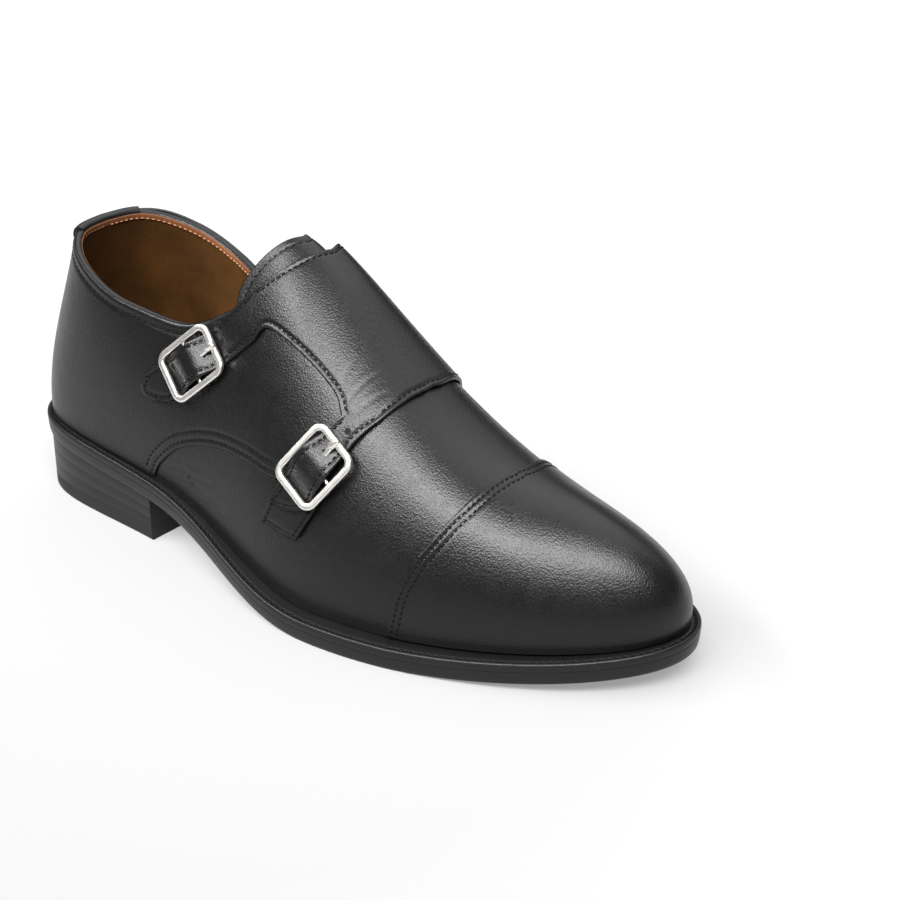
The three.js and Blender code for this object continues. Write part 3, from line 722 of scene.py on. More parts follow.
def calf_finish(name, tone, roughness, grain):
    """Aniline box calf: a fine, even grain, a soft finish, and a wax polish over it."""
    calf = Finish(bpy.data.materials.new(name))
    spot = calf.node("ShaderNodeTexCoord", out=3)
    bent = calf.node("ShaderNodeTexNoise", None, {"Vector": spot, "Scale": 260, "Detail": 2}, out=1)
    wander = calf.node("ShaderNodeVectorMath", {"operation": "SCALE"}, {0: bent, "Scale": 0.0012})
    drawn = calf.node("ShaderNodeVectorMath", {"operation": "ADD"}, {0: spot, 1: wander})
    pebble = calf.node("ShaderNodeTexVoronoi", {"feature": "F1"}, {"Vector": drawn, "Scale": 1350}, out=0)
    fine = calf.node("ShaderNodeTexNoise", None, {"Vector": spot, "Scale": 2300, "Detail": 2}, out=0)
    cloud = calf.node("ShaderNodeTexNoise", None, {"Vector": spot, "Scale": 24, "Detail": 4}, out=0)
    patch = calf.node("ShaderNodeTexNoise", None, {"Vector": spot, "Scale": 140, "Detail": 3}, out=0)
    face = 0.7 * pebble + 0.45 * fine
    bump = calf.node("ShaderNodeBump", None, {"Height": face, "Strength": grain, "Distance": 0.00016})
    rolling = calf.node("ShaderNodeBump", None, {
        "Height": patch, "Strength": 0.1, "Distance": 0.0008, "Normal": bump,
    })
    shade = calf.node("ShaderNodeMix", {"data_type": "RGBA"}, {
        0: cloud, 6: grey(tone * 0.75), 7: (tone * 1.2, tone * 1.2, tone * 1.3, 1),
    }, out=2)
    uneven = 0.1 * (cloud - 0.5) + 0.12 * (patch - 0.5) - 0.08 * (pebble - 0.4)
    calf.node("ShaderNodeOutputMaterial", None, {"Surface": calf.node("ShaderNodeBsdfPrincipled", None, {
        "Base Color": shade, "Roughness": roughness + uneven,
        "Specular IOR Level": 0.3, "Coat Weight": 0.05, "Coat Roughness": 0.22, "Normal": rolling,
    })})
    return calf


box_calf = calf_finish("box_calf", 0.003, 0.36, 0.7)

THROAT_ROW = 5.8
THROAT_FOOT_ROW = 5.2
topline = pattern_line([
    [0, 0.865], [1, 0.85], [2, 0.765], [3, 0.64], [3.8, 0.56], [4.5, 0.61], [5.15, 0.72], [5.6, 0.86],
    [THROAT_ROW, 1],
])
VAMP_BACK_ROW = 2.9
VAMP_CELLS = 160
WAIST_CELLS = 36
WAIST_GIRTH = 2 * WAIST_CELLS / VAMP_CELLS
# Fine creases of the outer waist, below the quarter's arc: a line of places, depth and width.
VAMP_CREASES = [
    ([[3.72, 0.09], [3.95, 0.125], [4.25, 0.13], [4.5, 0.16]], 0.36, 0.8),
    ([[3.85, 0.075], [4.1, 0.1], [4.45, 0.105], [4.75, 0.12]], 0.42, 0.9),
    ([[3.95, 0.15], [4.2, 0.165], [4.4, 0.19]], 0.24, 0.7),
    ([[4.3, 0.07], [4.6, 0.085], [4.95, 0.09]], 0.24, 0.9),
]


def throat_line(girth):
    up = np.where(girth <= 1, girth, 2 - girth)
    return np.stack([mix(THROAT_FOOT_ROW, THROAT_ROW, up), girth])


def vamp_front(s, t):
    girth = 2 * t
    start = throat_line(girth)
    return mix(start[0], TOE_ROW, s), girth


def vamp_waist(s, t):
    """The outer side's low part, from under the quarter's arc forward to the throat's foot."""
    girth = WAIST_GIRTH * t
    return mix(VAMP_BACK_ROW, throat_line(girth)[0], s), girth


vamp_creases = [
    (distance_from(line_points(pattern_line(places))), depth, width) for places, depth, width in VAMP_CREASES
]


def vamp_over(row, girth, points):
    height = np.zeros(len(row))
    near = (row > 3.5) & (row < 5.2) & (girth < 0.3)
    for distance, depth, width in vamp_creases:
        away = distance(points[near])
        height[near] += crease(away, width, depth, 0.35)
    return height


def last_piece(name, sheets, under, over, *nodes, finish=box_calf, slot="calf"):
    """Cuts and lasts a piece of the upper, and gives back its faces for the stitches to lie on."""
    bm = last_leather(cut_leather(*sheets), under, over)
    faces = BVHTree.FromBMesh(bm)
    make_piece(name, bm, finish, slot, *nodes)
    return faces


VAMP_THICKNESS = 1.2
vamp_sheets = [(130, VAMP_CELLS, vamp_front), (50, WAIST_CELLS, vamp_waist)]
last_piece("vamp", vamp_sheets, -VAMP_THICKNESS, vamp_over, "upper")

# ---------------------------------------------------------------------------------------------
# Outer quarter: one piece of calf from the back seam forward under the flap. Its lower edge runs in
# an arc over the vamp, turned in and held by two rows of stitches.
# ---------------------------------------------------------------------------------------------
QUARTER_THICKNESS = 1.0
FOOT_GIRTH = 0.012
QUARTER_BACK_ROW = 0.15
ARC_FOOT_ROW = 3.5
quarter_arc = pattern_line([
    [ARC_FOOT_ROW, FOOT_GIRTH], [3.62, 0.09], [3.88, 0.18], [4.24, 0.24], [4.67, 0.28], [5.21, 0.31],
    [5.76, 0.335], [6.2, 0.39], [6.6, 0.5], [6.9, 0.62], [7.0, 0.75],
])
# Shares of the topline: where the quarter starts at the back, where its two sheets join, and its end.
TOPLINE_START = 0.02
QUARTER_SPLIT = 0.4
QUARTER_END = 0.93


def quarter_back(s, t):
    foot = np.stack([mix(QUARTER_BACK_ROW, ARC_FOOT_ROW, s), np.full_like(s, FOOT_GIRTH)])
    head = topline(mix(TOPLINE_START, QUARTER_SPLIT, s))
    return mix(foot, head, t)


def quarter_front(s, t):
    """Four given edges: the arc below, the topline above, the join behind and the flap in front."""
    below = quarter_arc(s)
    above = topline(mix(QUARTER_SPLIT, QUARTER_END, s))
    corners = [quarter_arc(0.0), topline(QUARTER_SPLIT), quarter_arc(1.0), topline(QUARTER_END)]
    corners = [corner[:, None] for corner in corners]
    behind = mix(corners[0], corners[1], t)
    front = mix(corners[2], corners[3], t)
    flat = mix(mix(corners[0], corners[2], s), mix(corners[1], corners[3], s), t)
    return mix(below, above, t) + mix(behind, front, s) - flat


def eased(places):
    return lambda s, t: places(s, gather(t))


TOPLINE_STITCH = 3.9
ARC_STITCH = 2.2
ARC_ROWS_APART = 3.3
from_arc = distance_from(line_points(quarter_arc))
from_topline = distance_from(line_points(topline))


def outer_quarter_over(row, girth, points):
    arc = from_arc(points)
    top = from_topline(points)
    height = QUARTER_THICKNESS - turned_edge(arc, 0.7)
    height -= groove(arc, ARC_STITCH, 0.7, 0.22) + groove(arc, ARC_STITCH + ARC_ROWS_APART, 0.7, 0.22)
    return height - groove(top, TOPLINE_STITCH, 0.9, 0.25)


CLEAR_OF_VAMP = 0.02
quarter_sheets = [(70, 90, eased(quarter_back)), (150, 90, eased(quarter_front))]
quarter_skin = last_piece("outer_quarter", quarter_sheets, CLEAR_OF_VAMP, outer_quarter_over)


def stitch_line(curve, offset, height, start=0.0, end=1.0):
    """Points a given way to the left of a pattern line, as seen from outside, over the last.

    Where the line turns sharply the row would cross itself, so points too near the line are dropped.
    """
    s = np.linspace(start, end, 600)
    row, girth = curve(s)
    points = skin(row, girth, height(row, girth, skin(row, girth, 0)) if callable(height) else height)
    ahead = np.gradient(points, axis=0)
    left = np.cross(surface_normal(row, girth), ahead)
    row_points = points + offset * left / np.linalg.norm(left, axis=1)[:, None]
    return row_points[distance_from(points)(row_points) > 0.96 * abs(offset)]


def sew_line(bm, leather, line, pitch=2.6, length=1.95, width=0.85, sink=0.02):
    """Sews along a line, with each stitch laid on the leather's own face."""
    spots, directions = along(line, pitch)
    laid = []
    normals = []
    for spot in spots:
        place, normal, _, _ = leather.find_nearest(Vector(spot) * MM)
        laid.append(place / MM)
        normals.append(normal)
    sew(bm, laid, directions, normals, length, width, sink)


def sew_rows(name, leather, rows, finish=black_thread, slot="calf", **stitch):
    """Makes one piece of several rows of stitches in the same leather."""
    bm = bmesh.new()
    for row_line in rows:
        sew_line(bm, leather, row_line, **stitch)
    make_piece(name, bm, finish, slot, sharp=80)


sew_rows("outer_quarter_stitches", quarter_skin, [
    stitch_line(quarter_arc, ARC_STITCH, QUARTER_THICKNESS, 0.01, 0.72),
    stitch_line(quarter_arc, ARC_STITCH + ARC_ROWS_APART, QUARTER_THICKNESS, 0.01, 0.72),
    stitch_line(topline, -TOPLINE_STITCH, QUARTER_THICKNESS, 0.06, 0.9),
])

# ---------------------------------------------------------------------------------------------
# Toe cap: a second skin of calf over the toe. Its seam is skived and held by two close rows of
# stitches, and stands a little proud of the vamp.
# ---------------------------------------------------------------------------------------------
cap_line = pattern_line([
    [7.25, FOOT_GIRTH], [7.45, 0.25], [7.97, 0.5], [8.56, 0.75], [8.87, 0.88], [9.1, 1],
    [8.98, 1.12], [8.7, 1.25], [8.07, 1.5], [7.45, 1.75], [7.1, 2 - FOOT_GIRTH],
])
CAP_STEPS = np.array([0, 0.25, 0.5, 0.75, 0.88, 1, 1.12, 1.25, 1.5, 1.75, 2.0]) / 2
CAP_THICKNESS = 1.0
CAP_STITCH = 1.9
CAP_ROWS_APART = 2.3
from_cap_line = distance_from(line_points(cap_line))


def cap_places(s, t):
    line = cap_line(np.interp(t, CAP_STEPS, np.linspace(0, 1, len(CAP_STEPS))))
    toe = np.stack([np.full_like(t, TOE_ROW), FOOT_GIRTH + 2 * (1 - FOOT_GIRTH) * t])
    return mix(line, toe, gather(s, 0.75))


def cap_over(row, girth, points):
    away = from_cap_line(points)
    height = CAP_THICKNESS - turned_edge(away, 0.6)
    return height - groove(away, CAP_STITCH, 0.6, 0.2) - groove(away, CAP_STITCH + CAP_ROWS_APART, 0.6, 0.2)


cap_skin = last_piece("toe_cap_skin", [(110, 180, cap_places)], CLEAR_OF_VAMP, cap_over, "toe_cap")
sew_rows("toe_cap_stitches", cap_skin, [
    stitch_line(cap_line, -CAP_STITCH, CAP_THICKNESS),
    stitch_line(cap_line, -CAP_STITCH - CAP_ROWS_APART, CAP_THICKNESS),
], pitch=2.3, length=1.75, sink=-0.02)

# ---------------------------------------------------------------------------------------------
# Buckles: nickel plated frames, cast and polished, each with a centre bar and a short prong. The
# strap climbs over the centre bar and lies under both ends of the frame.
# ---------------------------------------------------------------------------------------------
BUCKLE_LENGTH = 27
BUCKLE_WIDTH = 21.5
BUCKLE_BAR = 2
BUCKLE_TILT = 0.03
BUCKLE_CORNER = 3.6
# Half the frame's bar across and in height, and how square its section is.
FRAME_ACROSS = 1.3
FRAME_HEIGHT = 0.95
FRAME_SQUARE = 4
CENTRE_BAR_RADIUS = 0.65
CENTRE_BAR_Z = -0.7
BUCKLES = {
    # place on the last, the way to the strap's tail, height of the frame's underside
    "upper": ([4.13, 0.457], (-0.707, -0.221, -0.671), 3.9),
    "lower": ([6.45, 0.45], (-0.517, -0.382, -0.766), 3.0),
}
nickel = Finish(bpy.data.materials.new("polished_nickel"))
nickel_spot = nickel.node("ShaderNodeTexCoord", out=3)
nickel_wear = nickel.node("ShaderNodeTexNoise", None, {
    "Vector": nickel_spot, "Scale": 420, "Detail": 4,
}, out=0)
nickel_rub = nickel.node("ShaderNodeBump", None, {
    "Height": nickel_wear, "Strength": 0.06, "Distance": 0.0003,
})
nickel.node("ShaderNodeOutputMaterial", None, {"Surface": nickel.node("ShaderNodeBsdfPrincipled", None, {
    "Base Color": (0.94, 0.91, 0.87, 1), "Metallic": 1.0, "Roughness": 0.3 + 0.1 * nickel_wear,
    "Normal": nickel_rub,
})})


def buckle_axes(place, tail):
    """Where a buckle sits on the last, with its own X along the strap and Z away from the foot."""
    row, girth = np.array([place[0]]), np.array([place[1]])
    up = Vector(surface_normal(row, girth)[0])
    run = Vector(tail)
    run = (run - up * run.dot(up)).normalized()
    axes = Matrix((run, up.cross(run), up)).transposed().to_4x4()
    axes.translation = Vector(surface_point(row, girth)[0])
    return axes


def frame_line(s):
    """The frame's middle line, a rounded rectangle, with the way out from it."""
    half_x = (BUCKLE_LENGTH - BUCKLE_BAR) / 2 - BUCKLE_CORNER
    half_y = (BUCKLE_WIDTH - BUCKLE_BAR) / 2 - BUCKLE_CORNER
    quarter = 0.5 * math.pi * BUCKLE_CORNER
    half_round = [quarter, 2 * half_x, quarter]
    stations = np.cumsum([0, half_y, *half_round, 2 * half_y, *half_round, half_y])
    run = s * stations[-1]
    x = np.zeros_like(s)
    y = np.zeros_like(s)
    out = np.zeros_like(s)
    turns = [(half_x, half_y, 0), (-half_x, half_y, 1), (-half_x, -half_y, 2), (half_x, -half_y, 3)]
    sides_of_frame = [(half_x + BUCKLE_CORNER, 0, 0), (half_x, half_y + BUCKLE_CORNER, 1),
                      (-half_x - BUCKLE_CORNER, half_y, 2), (-half_x, -half_y - BUCKLE_CORNER, 3),
                      (half_x + BUCKLE_CORNER, -half_y, 0)]
    for k, (side_x, side_y, turn) in enumerate(sides_of_frame):
        here = (run >= stations[2 * k]) & (run <= stations[2 * k + 1] + 1e-9)
        angle = turn * math.pi / 2
        x[here] = side_x - math.sin(angle) * (run[here] - stations[2 * k])
        y[here] = side_y + math.cos(angle) * (run[here] - stations[2 * k])
        out[here] = angle
    for k, (corner_x, corner_y, turn) in enumerate(turns):
        here = (run > stations[2 * k + 1]) & (run < stations[2 * k + 2])
        angle = turn * math.pi / 2 + (run[here] - stations[2 * k + 1]) / BUCKLE_CORNER
        x[here] = corner_x + BUCKLE_CORNER * np.cos(angle)
        y[here] = corner_y + BUCKLE_CORNER * np.sin(angle)
        out[here] = angle
    return x, y, out


def buckle_frame(s, t):
    """A bar with a soft square section that runs round the frame."""
    x, y, out = frame_line(s)
    angle = 2 * math.pi * t
    square = np.abs(np.cos(angle)) ** FRAME_SQUARE + np.abs(np.sin(angle)) ** FRAME_SQUARE
    soft = square ** (-1 / FRAME_SQUARE)
    across = FRAME_ACROSS * soft * np.cos(angle)
    level = FRAME_HEIGHT * soft * np.sin(angle)
    return np.stack([x + across * np.cos(out), y + across * np.sin(out), level], 1)


def rod(bm, start, end, radius, flatten=1.0):
    """A round rod with domed ends between two points, in millimetres."""
    way = Vector(end) - Vector(start)
    axes = way.to_track_quat("Z", "Y").to_matrix().to_4x4()
    axes.translation = (Vector(start) + Vector(end)) / 2 * MM
    size = Matrix.Diagonal((radius * MM, radius * MM * flatten, way.length / 2 * MM, 1))
    made = bmesh.ops.create_cone(
        bm, cap_ends=True, segments=20, radius1=1, radius2=1, depth=2, matrix=axes @ size,
    )
    rims = {edge for vert in made["verts"] for edge in vert.link_edges if len(edge.link_faces) == 2
            and edge.calc_face_angle() > 1}
    bmesh.ops.bevel(
        bm, geom=list(rims), offset=radius * 0.45 * MM, affect="EDGES", segments=3, profile=0.5, material=-1,
    )


for name, (place, tail, rise) in BUCKLES.items():
    seat = Matrix.Translation((0, 0, (rise + BUCKLE_BAR / 2) * MM)) @ Matrix.Rotation(-BUCKLE_TILT, 4, "Y")
    axes = buckle_axes(place, tail)
    axes.translation *= MM
    ring = bmesh.new()
    warped_grid(ring, 160, 20, buckle_frame)
    bar_end = (BUCKLE_WIDTH - BUCKLE_BAR) / 2
    rod(ring, (0, -bar_end, CENTRE_BAR_Z), (0, bar_end, CENTRE_BAR_Z), CENTRE_BAR_RADIUS)
    bmesh.ops.transform(ring, matrix=axes @ seat, verts=ring.verts)
    make_piece(f"buckle_frame_{name}", ring, nickel, "steel", f"buckle_{name}", sharp=60)
    pin = bmesh.new()
    rod(pin, (-1.6, 0, CENTRE_BAR_Z), (-10.6, 0, 0.9), 1.1, 0.8)
    rod(pin, (-10.2, 0, 1.4), (-14.6, 0, 1.9), 1.55, 0.65)
    bmesh.ops.transform(pin, matrix=axes @ seat, verts=pin.verts)
    make_piece(f"buckle_prong_{name}", pin, nickel, "steel", f"prong_{name}", sharp=60)

# ---------------------------------------------------------------------------------------------
# Buckle anchors: short tabs of calf, folded round the centre bars and sewn down to the quarter. The
# lower one shows past its strap, squared off and stitched round its edge.
# ---------------------------------------------------------------------------------------------
ANCHOR_THICKNESS = 1.1
ANCHOR_STITCH = 1.8
ANCHOR_STITCH_HEIGHT = 2.2
ANCHORS = {
    "upper": ([[4.0, 0.485], [3.72, 0.41]], [[4.2, 0.43], [3.92, 0.365]]),
    "lower": ([[6.1, 0.43], [5.87, 0.33], [5.62, 0.215]], [[6.62, 0.43], [6.45, 0.34], [6.2, 0.235]]),
}


def ruled(first, second):
    return lambda s, t: mix(first(s), second(s), t)


def end_of(places, s):
    """The edge of a sheet across its end at s."""
    return lambda t: np.stack(places(np.full_like(np.asarray(t, float), s), np.asarray(t, float)))


for name, (far, near) in ANCHORS.items():
    places = ruled(pattern_line(far), pattern_line(near))
    edges = [pattern_line(far), pattern_line(near), end_of(places, 1.0)]
    from_edge = distance_from(line_points(*edges))

    def anchor_over(row, girth, points, from_edge=from_edge):
        away = from_edge(points)
        height = QUARTER_THICKNESS + ANCHOR_THICKNESS - turned_edge(away, 0.5)
        return height - groove(away, ANCHOR_STITCH, 0.5, 0.2)

    sheet = (50, 40, lambda s, t, places=places: places(gather(s), gather(t)))
    anchor_skin = last_piece(
        f"buckle_anchor_{name}", [sheet], QUARTER_THICKNESS, anchor_over, f"keeper_{name}",
    )
    sew_rows(f"buckle_anchor_{name}_stitches", anchor_skin, [
        stitch_line(edge, side * ANCHOR_STITCH, ANCHOR_STITCH_HEIGHT)
        for edge, side in zip(edges, (1, -1, -1))
    ], pitch=2.0)

# ---------------------------------------------------------------------------------------------
# Inner quarter: one piece of calf that covers the inner side, crosses the instep as a flap and ends
# in two straps. All its edges are skived and stitched 2 mm in; both straps are punched.
# ---------------------------------------------------------------------------------------------
FLAP_THICKNESS = 1.3
INNER_BASE = 0.05
FLAP_BASE = 1.1
SEAM_ROW = 0.2
HUMP_FLAT = 1.5
HUMP_REACH = 13.5
quarter_top = pattern_line([
    [SEAM_ROW, 1.137], [1.2, 1.16], [2, 1.235], [3, 1.36], [3.8, 1.44], [4.4, 1.4], [4.9, 1.32],
])
flap_top = pattern_line([
    [4.9, 1.32], [5.3, 1.2], [5.55, 1.06], [5.57, 0.96], [5.4, 0.84], [5.1, 0.735], [4.9, 0.69],
])
FRONT_CORNER = [5.66, 2 - FOOT_GIRTH]
flap_front = pattern_line([
    FRONT_CORNER, [6.06, 1.74], [6.45, 1.59], [6.95, 1.42], [7.42, 1.22], [7.66, 1.03], [7.45, 0.86],
    [7.18, 0.71],
])
cut_out = pattern_line([[5.13, 0.575], [5.3, 0.625], [5.7, 0.645], [6.2, 0.66], [6.55, 0.655], [6.68, 0.62]])
STRAPS = {
    # the edge towards the heel, the edge towards the toe, how round the tail is
    "upper": (
        pattern_line([[4.9, 0.69], [4.44, 0.58], [4.04, 0.511], [3.676, 0.455], [3.23, 0.377]]),
        pattern_line([[5.13, 0.575], [4.69, 0.49], [4.32, 0.424], [4.024, 0.369], [3.576, 0.289]]),
        0.12,
    ),
    "lower": (
        pattern_line([[6.68, 0.62], [6.45, 0.53], [6.153, 0.427], [5.942, 0.342], [5.741, 0.272]]),
        pattern_line([[7.18, 0.71], [6.9, 0.585], [6.687, 0.473], [6.488, 0.383], [6.309, 0.313]]),
        0.06,
    ),
}
# Both straps lie below this girth, and this row runs between them.
STRAP_ROOT_GIRTH = 0.72
BETWEEN_STRAPS_ROW = 5.4


def smooth_step(value, start, end):
    share = np.clip((value - start) / (end - start), 0, 1)
    return share * share * (3 - 2 * share)


def strap_places(name):
    far, near, roundness = STRAPS[name]

    def places(s, t):
        reach = s * (1 - roundness * s * (2 * t - 1) ** 2)
        return mix(far(reach), near(reach), t)
    return places


def cells(t):
    """Draws the lines together at both edges of each strap's root and of the opening between them."""
    stops = np.array([0, 0.25, 0.75, 1.0])
    k = np.clip(np.searchsorted(stops, t, side="right") - 1, 0, 2)
    width = stops[k + 1] - stops[k]
    return stops[k] + width * gather((t - stops[k]) / width, 0.75)


def flap_end(t):
    """The flap's edge on the outer side: root of the upper strap, opening, root of the lower one."""
    upper_root = mix(flap_top(1.0)[:, None], cut_out(0.0)[:, None], np.clip(t / 0.25, 0, 1))
    lower_root = mix(cut_out(1.0)[:, None], flap_front(1.0)[:, None], np.clip((t - 0.75) / 0.25, 0, 1))
    opening = cut_out(np.clip((t - 0.25) / 0.5, 0, 1))
    return np.where(t < 0.25, upper_root, np.where(t > 0.75, lower_root, opening))


def four_sided(top, bottom, start, finish):
    """A sheet between four given edges; top and bottom are read by s, start and finish by t."""
    def places(s, t):
        ends = [top(0.0), bottom(0.0), top(1.0), bottom(1.0)]
        ends = [end[:, None] for end in ends]
        flat = mix(mix(ends[0], ends[1], t), mix(ends[2], ends[3], t), s)
        return mix(top(s), bottom(s), t) + mix(start(t), finish(t), s) - flat
    return places


def straight_edge(a, b):
    a, b = np.array(a, float)[:, None], np.array(b, float)[:, None]
    return lambda t: mix(a, b, np.asarray(t, float))


def read_by_s(edge):
    """A straight edge that can also be read at a single number, as a pattern line can."""
    return lambda s: edge(s) if np.ndim(s) else edge(np.array([s]))[:, 0]


seam_edge = straight_edge([SEAM_ROW, 1.137], [SEAM_ROW, 2 - FOOT_GIRTH])
flap_start = straight_edge([4.9, 1.32], FRONT_CORNER)
quarter_foot = read_by_s(straight_edge([SEAM_ROW, 2 - FOOT_GIRTH], FRONT_CORNER))
inner_side = four_sided(quarter_top, quarter_foot, seam_edge, flap_start)
over_instep = four_sided(flap_top, flap_front, flap_start, flap_end)
STRAP_CELLS = 30


def strap_lift(row, girth, points):
    """Extra height of a strap where it climbs over its centre bar and lies on its anchor."""
    lift = np.zeros(len(row))
    for name, (place, tail, rise) in BUCKLES.items():
        axes = buckle_axes(place, tail)
        mine = (girth < STRAP_ROOT_GIRTH) & ((row < BETWEEN_STRAPS_ROW) == (name == "upper"))
        run = (points[mine] - np.array(axes.translation)) @ np.array(axes.col[0].xyz)
        hump = 1 - smooth_step(np.abs(run), HUMP_FLAT, HUMP_REACH)
        anchor = smooth_step(run, -HUMP_REACH, 2) * (ANCHOR_THICKNESS + 0.1)
        lift[mine] = (((rise + BUCKLE_BAR - FLAP_BASE - 0.1) * hump) ** 3 + anchor ** 3) ** (1 / 3)
    return lift


strap_edges = []
for far, near, _ in STRAPS.values():
    strap_edges += [far, near]
tails = [end_of(strap_places(name), 1.0) for name in STRAPS]
from_flap_edge = distance_from(line_points(flap_top, flap_front, cut_out, *strap_edges, *tails))
from_quarter_top = distance_from(line_points(quarter_top))
FLAP_STITCH = 2.1
# Soft pulls in the calf where the flap turns into the lower strap, and across the instep.
FLAP_CREASES = [
    (pattern_line([[6.72, 0.66], [6.84, 0.74], [7.0, 0.83]]), 0.09, 1.0),
    (pattern_line([[6.8, 0.63], [6.98, 0.72], [7.16, 0.8]]), 0.1, 1.0),
    (pattern_line([[6.6, 0.69], [6.68, 0.79], [6.8, 0.9]]), 0.07, 1.1),
    (pattern_line([[5.0, 0.62], [5.12, 0.68], [5.28, 0.76]]), 0.08, 1.0),
]
flap_creases = [
    (distance_from(line_points(curve, count=200)), depth, width) for curve, depth, width in FLAP_CREASES
]


def flap_under(row, girth, points):
    base = FLAP_BASE + (INNER_BASE - FLAP_BASE) * smooth_step(girth, 1.15, 1.5)
    base -= 0.6 * np.exp(-((girth - 1) / 0.06) ** 2) * (1 - smooth_step(row, 5.7, 6.3))
    return base + strap_lift(row, girth, points)


def flap_over(row, girth, points):
    away = from_flap_edge(points)
    height = flap_under(row, girth, points) + FLAP_THICKNESS - turned_edge(away, 0.6)
    height -= groove(away, FLAP_STITCH, 0.7, 0.3)
    height -= groove(from_quarter_top(points), TOPLINE_STITCH, 0.9, 0.25) * smooth_step(girth, 1.1, 1.25)
    near = (girth < 1) & (row > 4.9)
    for distance, depth, width in flap_creases:
        away = distance(points[near])
        height[near] += crease(away, width, depth, 0.4)
    return height


flap_sheets = [
    (90, 4 * STRAP_CELLS, lambda s, t: inner_side(s, cells(t))),
    (110, 4 * STRAP_CELLS, lambda s, t: over_instep(gather(s, 0.7), cells(t))),
    (70, STRAP_CELLS, lambda s, t: strap_places("upper")(s, gather(t, 0.75))),
    (70, STRAP_CELLS, lambda s, t: strap_places("lower")(s, gather(t, 0.75))),
]
flap_skin = last_piece("inner_quarter_flap", flap_sheets, flap_under, flap_over, "inner_quarter_with_straps")

# Each edge of the flap in turn, and the side of it that the leather lies on.
FLAP_EDGES = [
    (flap_top, 1), (STRAPS["upper"][0], 1), (tails[0], 1), (STRAPS["upper"][1], -1), (cut_out, 1),
    (STRAPS["lower"][0], 1), (tails[1], 1), (STRAPS["lower"][1], -1), (flap_front, -1),
]
flap_rows = [stitch_line(edge, side * FLAP_STITCH, flap_over, 0.02, 0.98) for edge, side in FLAP_EDGES]
flap_rows.append(stitch_line(quarter_top, TOPLINE_STITCH, flap_over, 0.06, 0.98))
sew_rows("inner_quarter_stitches", flap_skin, flap_rows)

# Punched holes: a row along each strap, one of them in each buckle's window. No hole is cut: each is
# a sunk disc of black thread, painted shade that stands for the dark inside the hole.
HOLE_ROWS = np.array([3.85, 4.33, 4.53, 4.79, 6.35, 6.58, 6.8])
HOLE_GIRTHS = np.array([0.44, 0.487, 0.53, 0.58, 0.45, 0.505, 0.6])
HOLE_RADIUS = 1.15
HOLE_DEPTH = 0.5
HOLE_SUNK = 0.13
hole_shade_discs = bmesh.new()
hole_height = flap_over(HOLE_ROWS, HOLE_GIRTHS, skin(HOLE_ROWS, HOLE_GIRTHS, 0))
for spot in skin(HOLE_ROWS, HOLE_GIRTHS, hole_height):
    place, normal, _, _ = flap_skin.find_nearest(Vector(spot) * MM)
    turned = normal.to_track_quat("Z", "Y").to_matrix().to_4x4()
    turned.translation = place - normal * HOLE_SUNK * MM
    bmesh.ops.create_cone(
        hole_shade_discs, cap_ends=True, segments=20, radius1=HOLE_RADIUS * MM, radius2=HOLE_RADIUS * MM,
        depth=HOLE_DEPTH * MM, matrix=turned,
    )
# The discs are painted shade, black where the holes would be dark.
make_piece("strap_hole_shade_discs", hole_shade_discs, black_thread, "calf", sharp=60)

# ---------------------------------------------------------------------------------------------
# Inner wing: the low panel of the inner side, laid over the quarter along an arc with two rows of
# stitches, and over the vamp along its front edge. A bar tack above its corner ties the flap down.
# ---------------------------------------------------------------------------------------------
WING_THICKNESS = 0.9
WING_BASE = INNER_BASE + FLAP_THICKNESS - 0.1
WING_CORNER = [6.17, 1.675]
WING_BACK_ROW = 3.3
wing_arc = pattern_line([
    [WING_BACK_ROW, 1.985], [3.42, 1.86], [3.72, 1.73], [4.31, 1.68], [4.78, 1.69], [5.28, 1.7],
    [5.81, 1.695], WING_CORNER,
])
wing_front = pattern_line([WING_CORNER, [6.04, 1.75], [5.84, 1.86], FRONT_CORNER])
wing_back = straight_edge([WING_BACK_ROW, 1.985], [WING_BACK_ROW, 2 - FOOT_GIRTH])
wing_foot = read_by_s(straight_edge([WING_BACK_ROW, 2 - FOOT_GIRTH], FRONT_CORNER))
wing_places = four_sided(wing_arc, wing_foot, wing_back, wing_front)
from_wing_arc = distance_from(line_points(wing_arc))
from_wing_front = distance_from(line_points(wing_front))


def wing_over(row, girth, points):
    arc = from_wing_arc(points)
    front = from_wing_front(points)
    height = WING_BASE + WING_THICKNESS - turned_edge(np.minimum(arc, front), 0.6)
    height -= groove(arc, ARC_STITCH, 0.6, 0.2) + groove(arc, ARC_STITCH + ARC_ROWS_APART, 0.6, 0.2)
    return height - groove(front, FLAP_STITCH, 0.6, 0.2)


wing_sheet = (120, 60, lambda s, t: wing_places(gather(s, 0.7), gather(t)))
wing_skin = last_piece("inner_wing", [wing_sheet], WING_BASE, wing_over)
BAR_TACK = [[6.36, 1.6], [6.22, 1.635], [6.12, 1.61], [6.25, 1.57], [6.36, 1.6]]
wing_thread = bmesh.new()
for offset in (ARC_STITCH, ARC_STITCH + ARC_ROWS_APART):
    sew_line(wing_thread, wing_skin, stitch_line(wing_arc, offset, WING_BASE + WING_THICKNESS, 0.02, 0.99))
sew_line(wing_thread, wing_skin, stitch_line(wing_front, FLAP_STITCH, WING_BASE + WING_THICKNESS, 0.03, 0.98))
for start, end in zip(BAR_TACK[:-1], BAR_TACK[1:]):
    tack = skin(*pattern_line([start, end])(np.linspace(0, 1, 60)), FLAP_THICKNESS)
    sew_line(wing_thread, flap_skin, tack, pitch=1.4, length=1.2, width=0.7)
make_piece("inner_wing_stitches", wing_thread, black_thread, "calf", sharp=80)

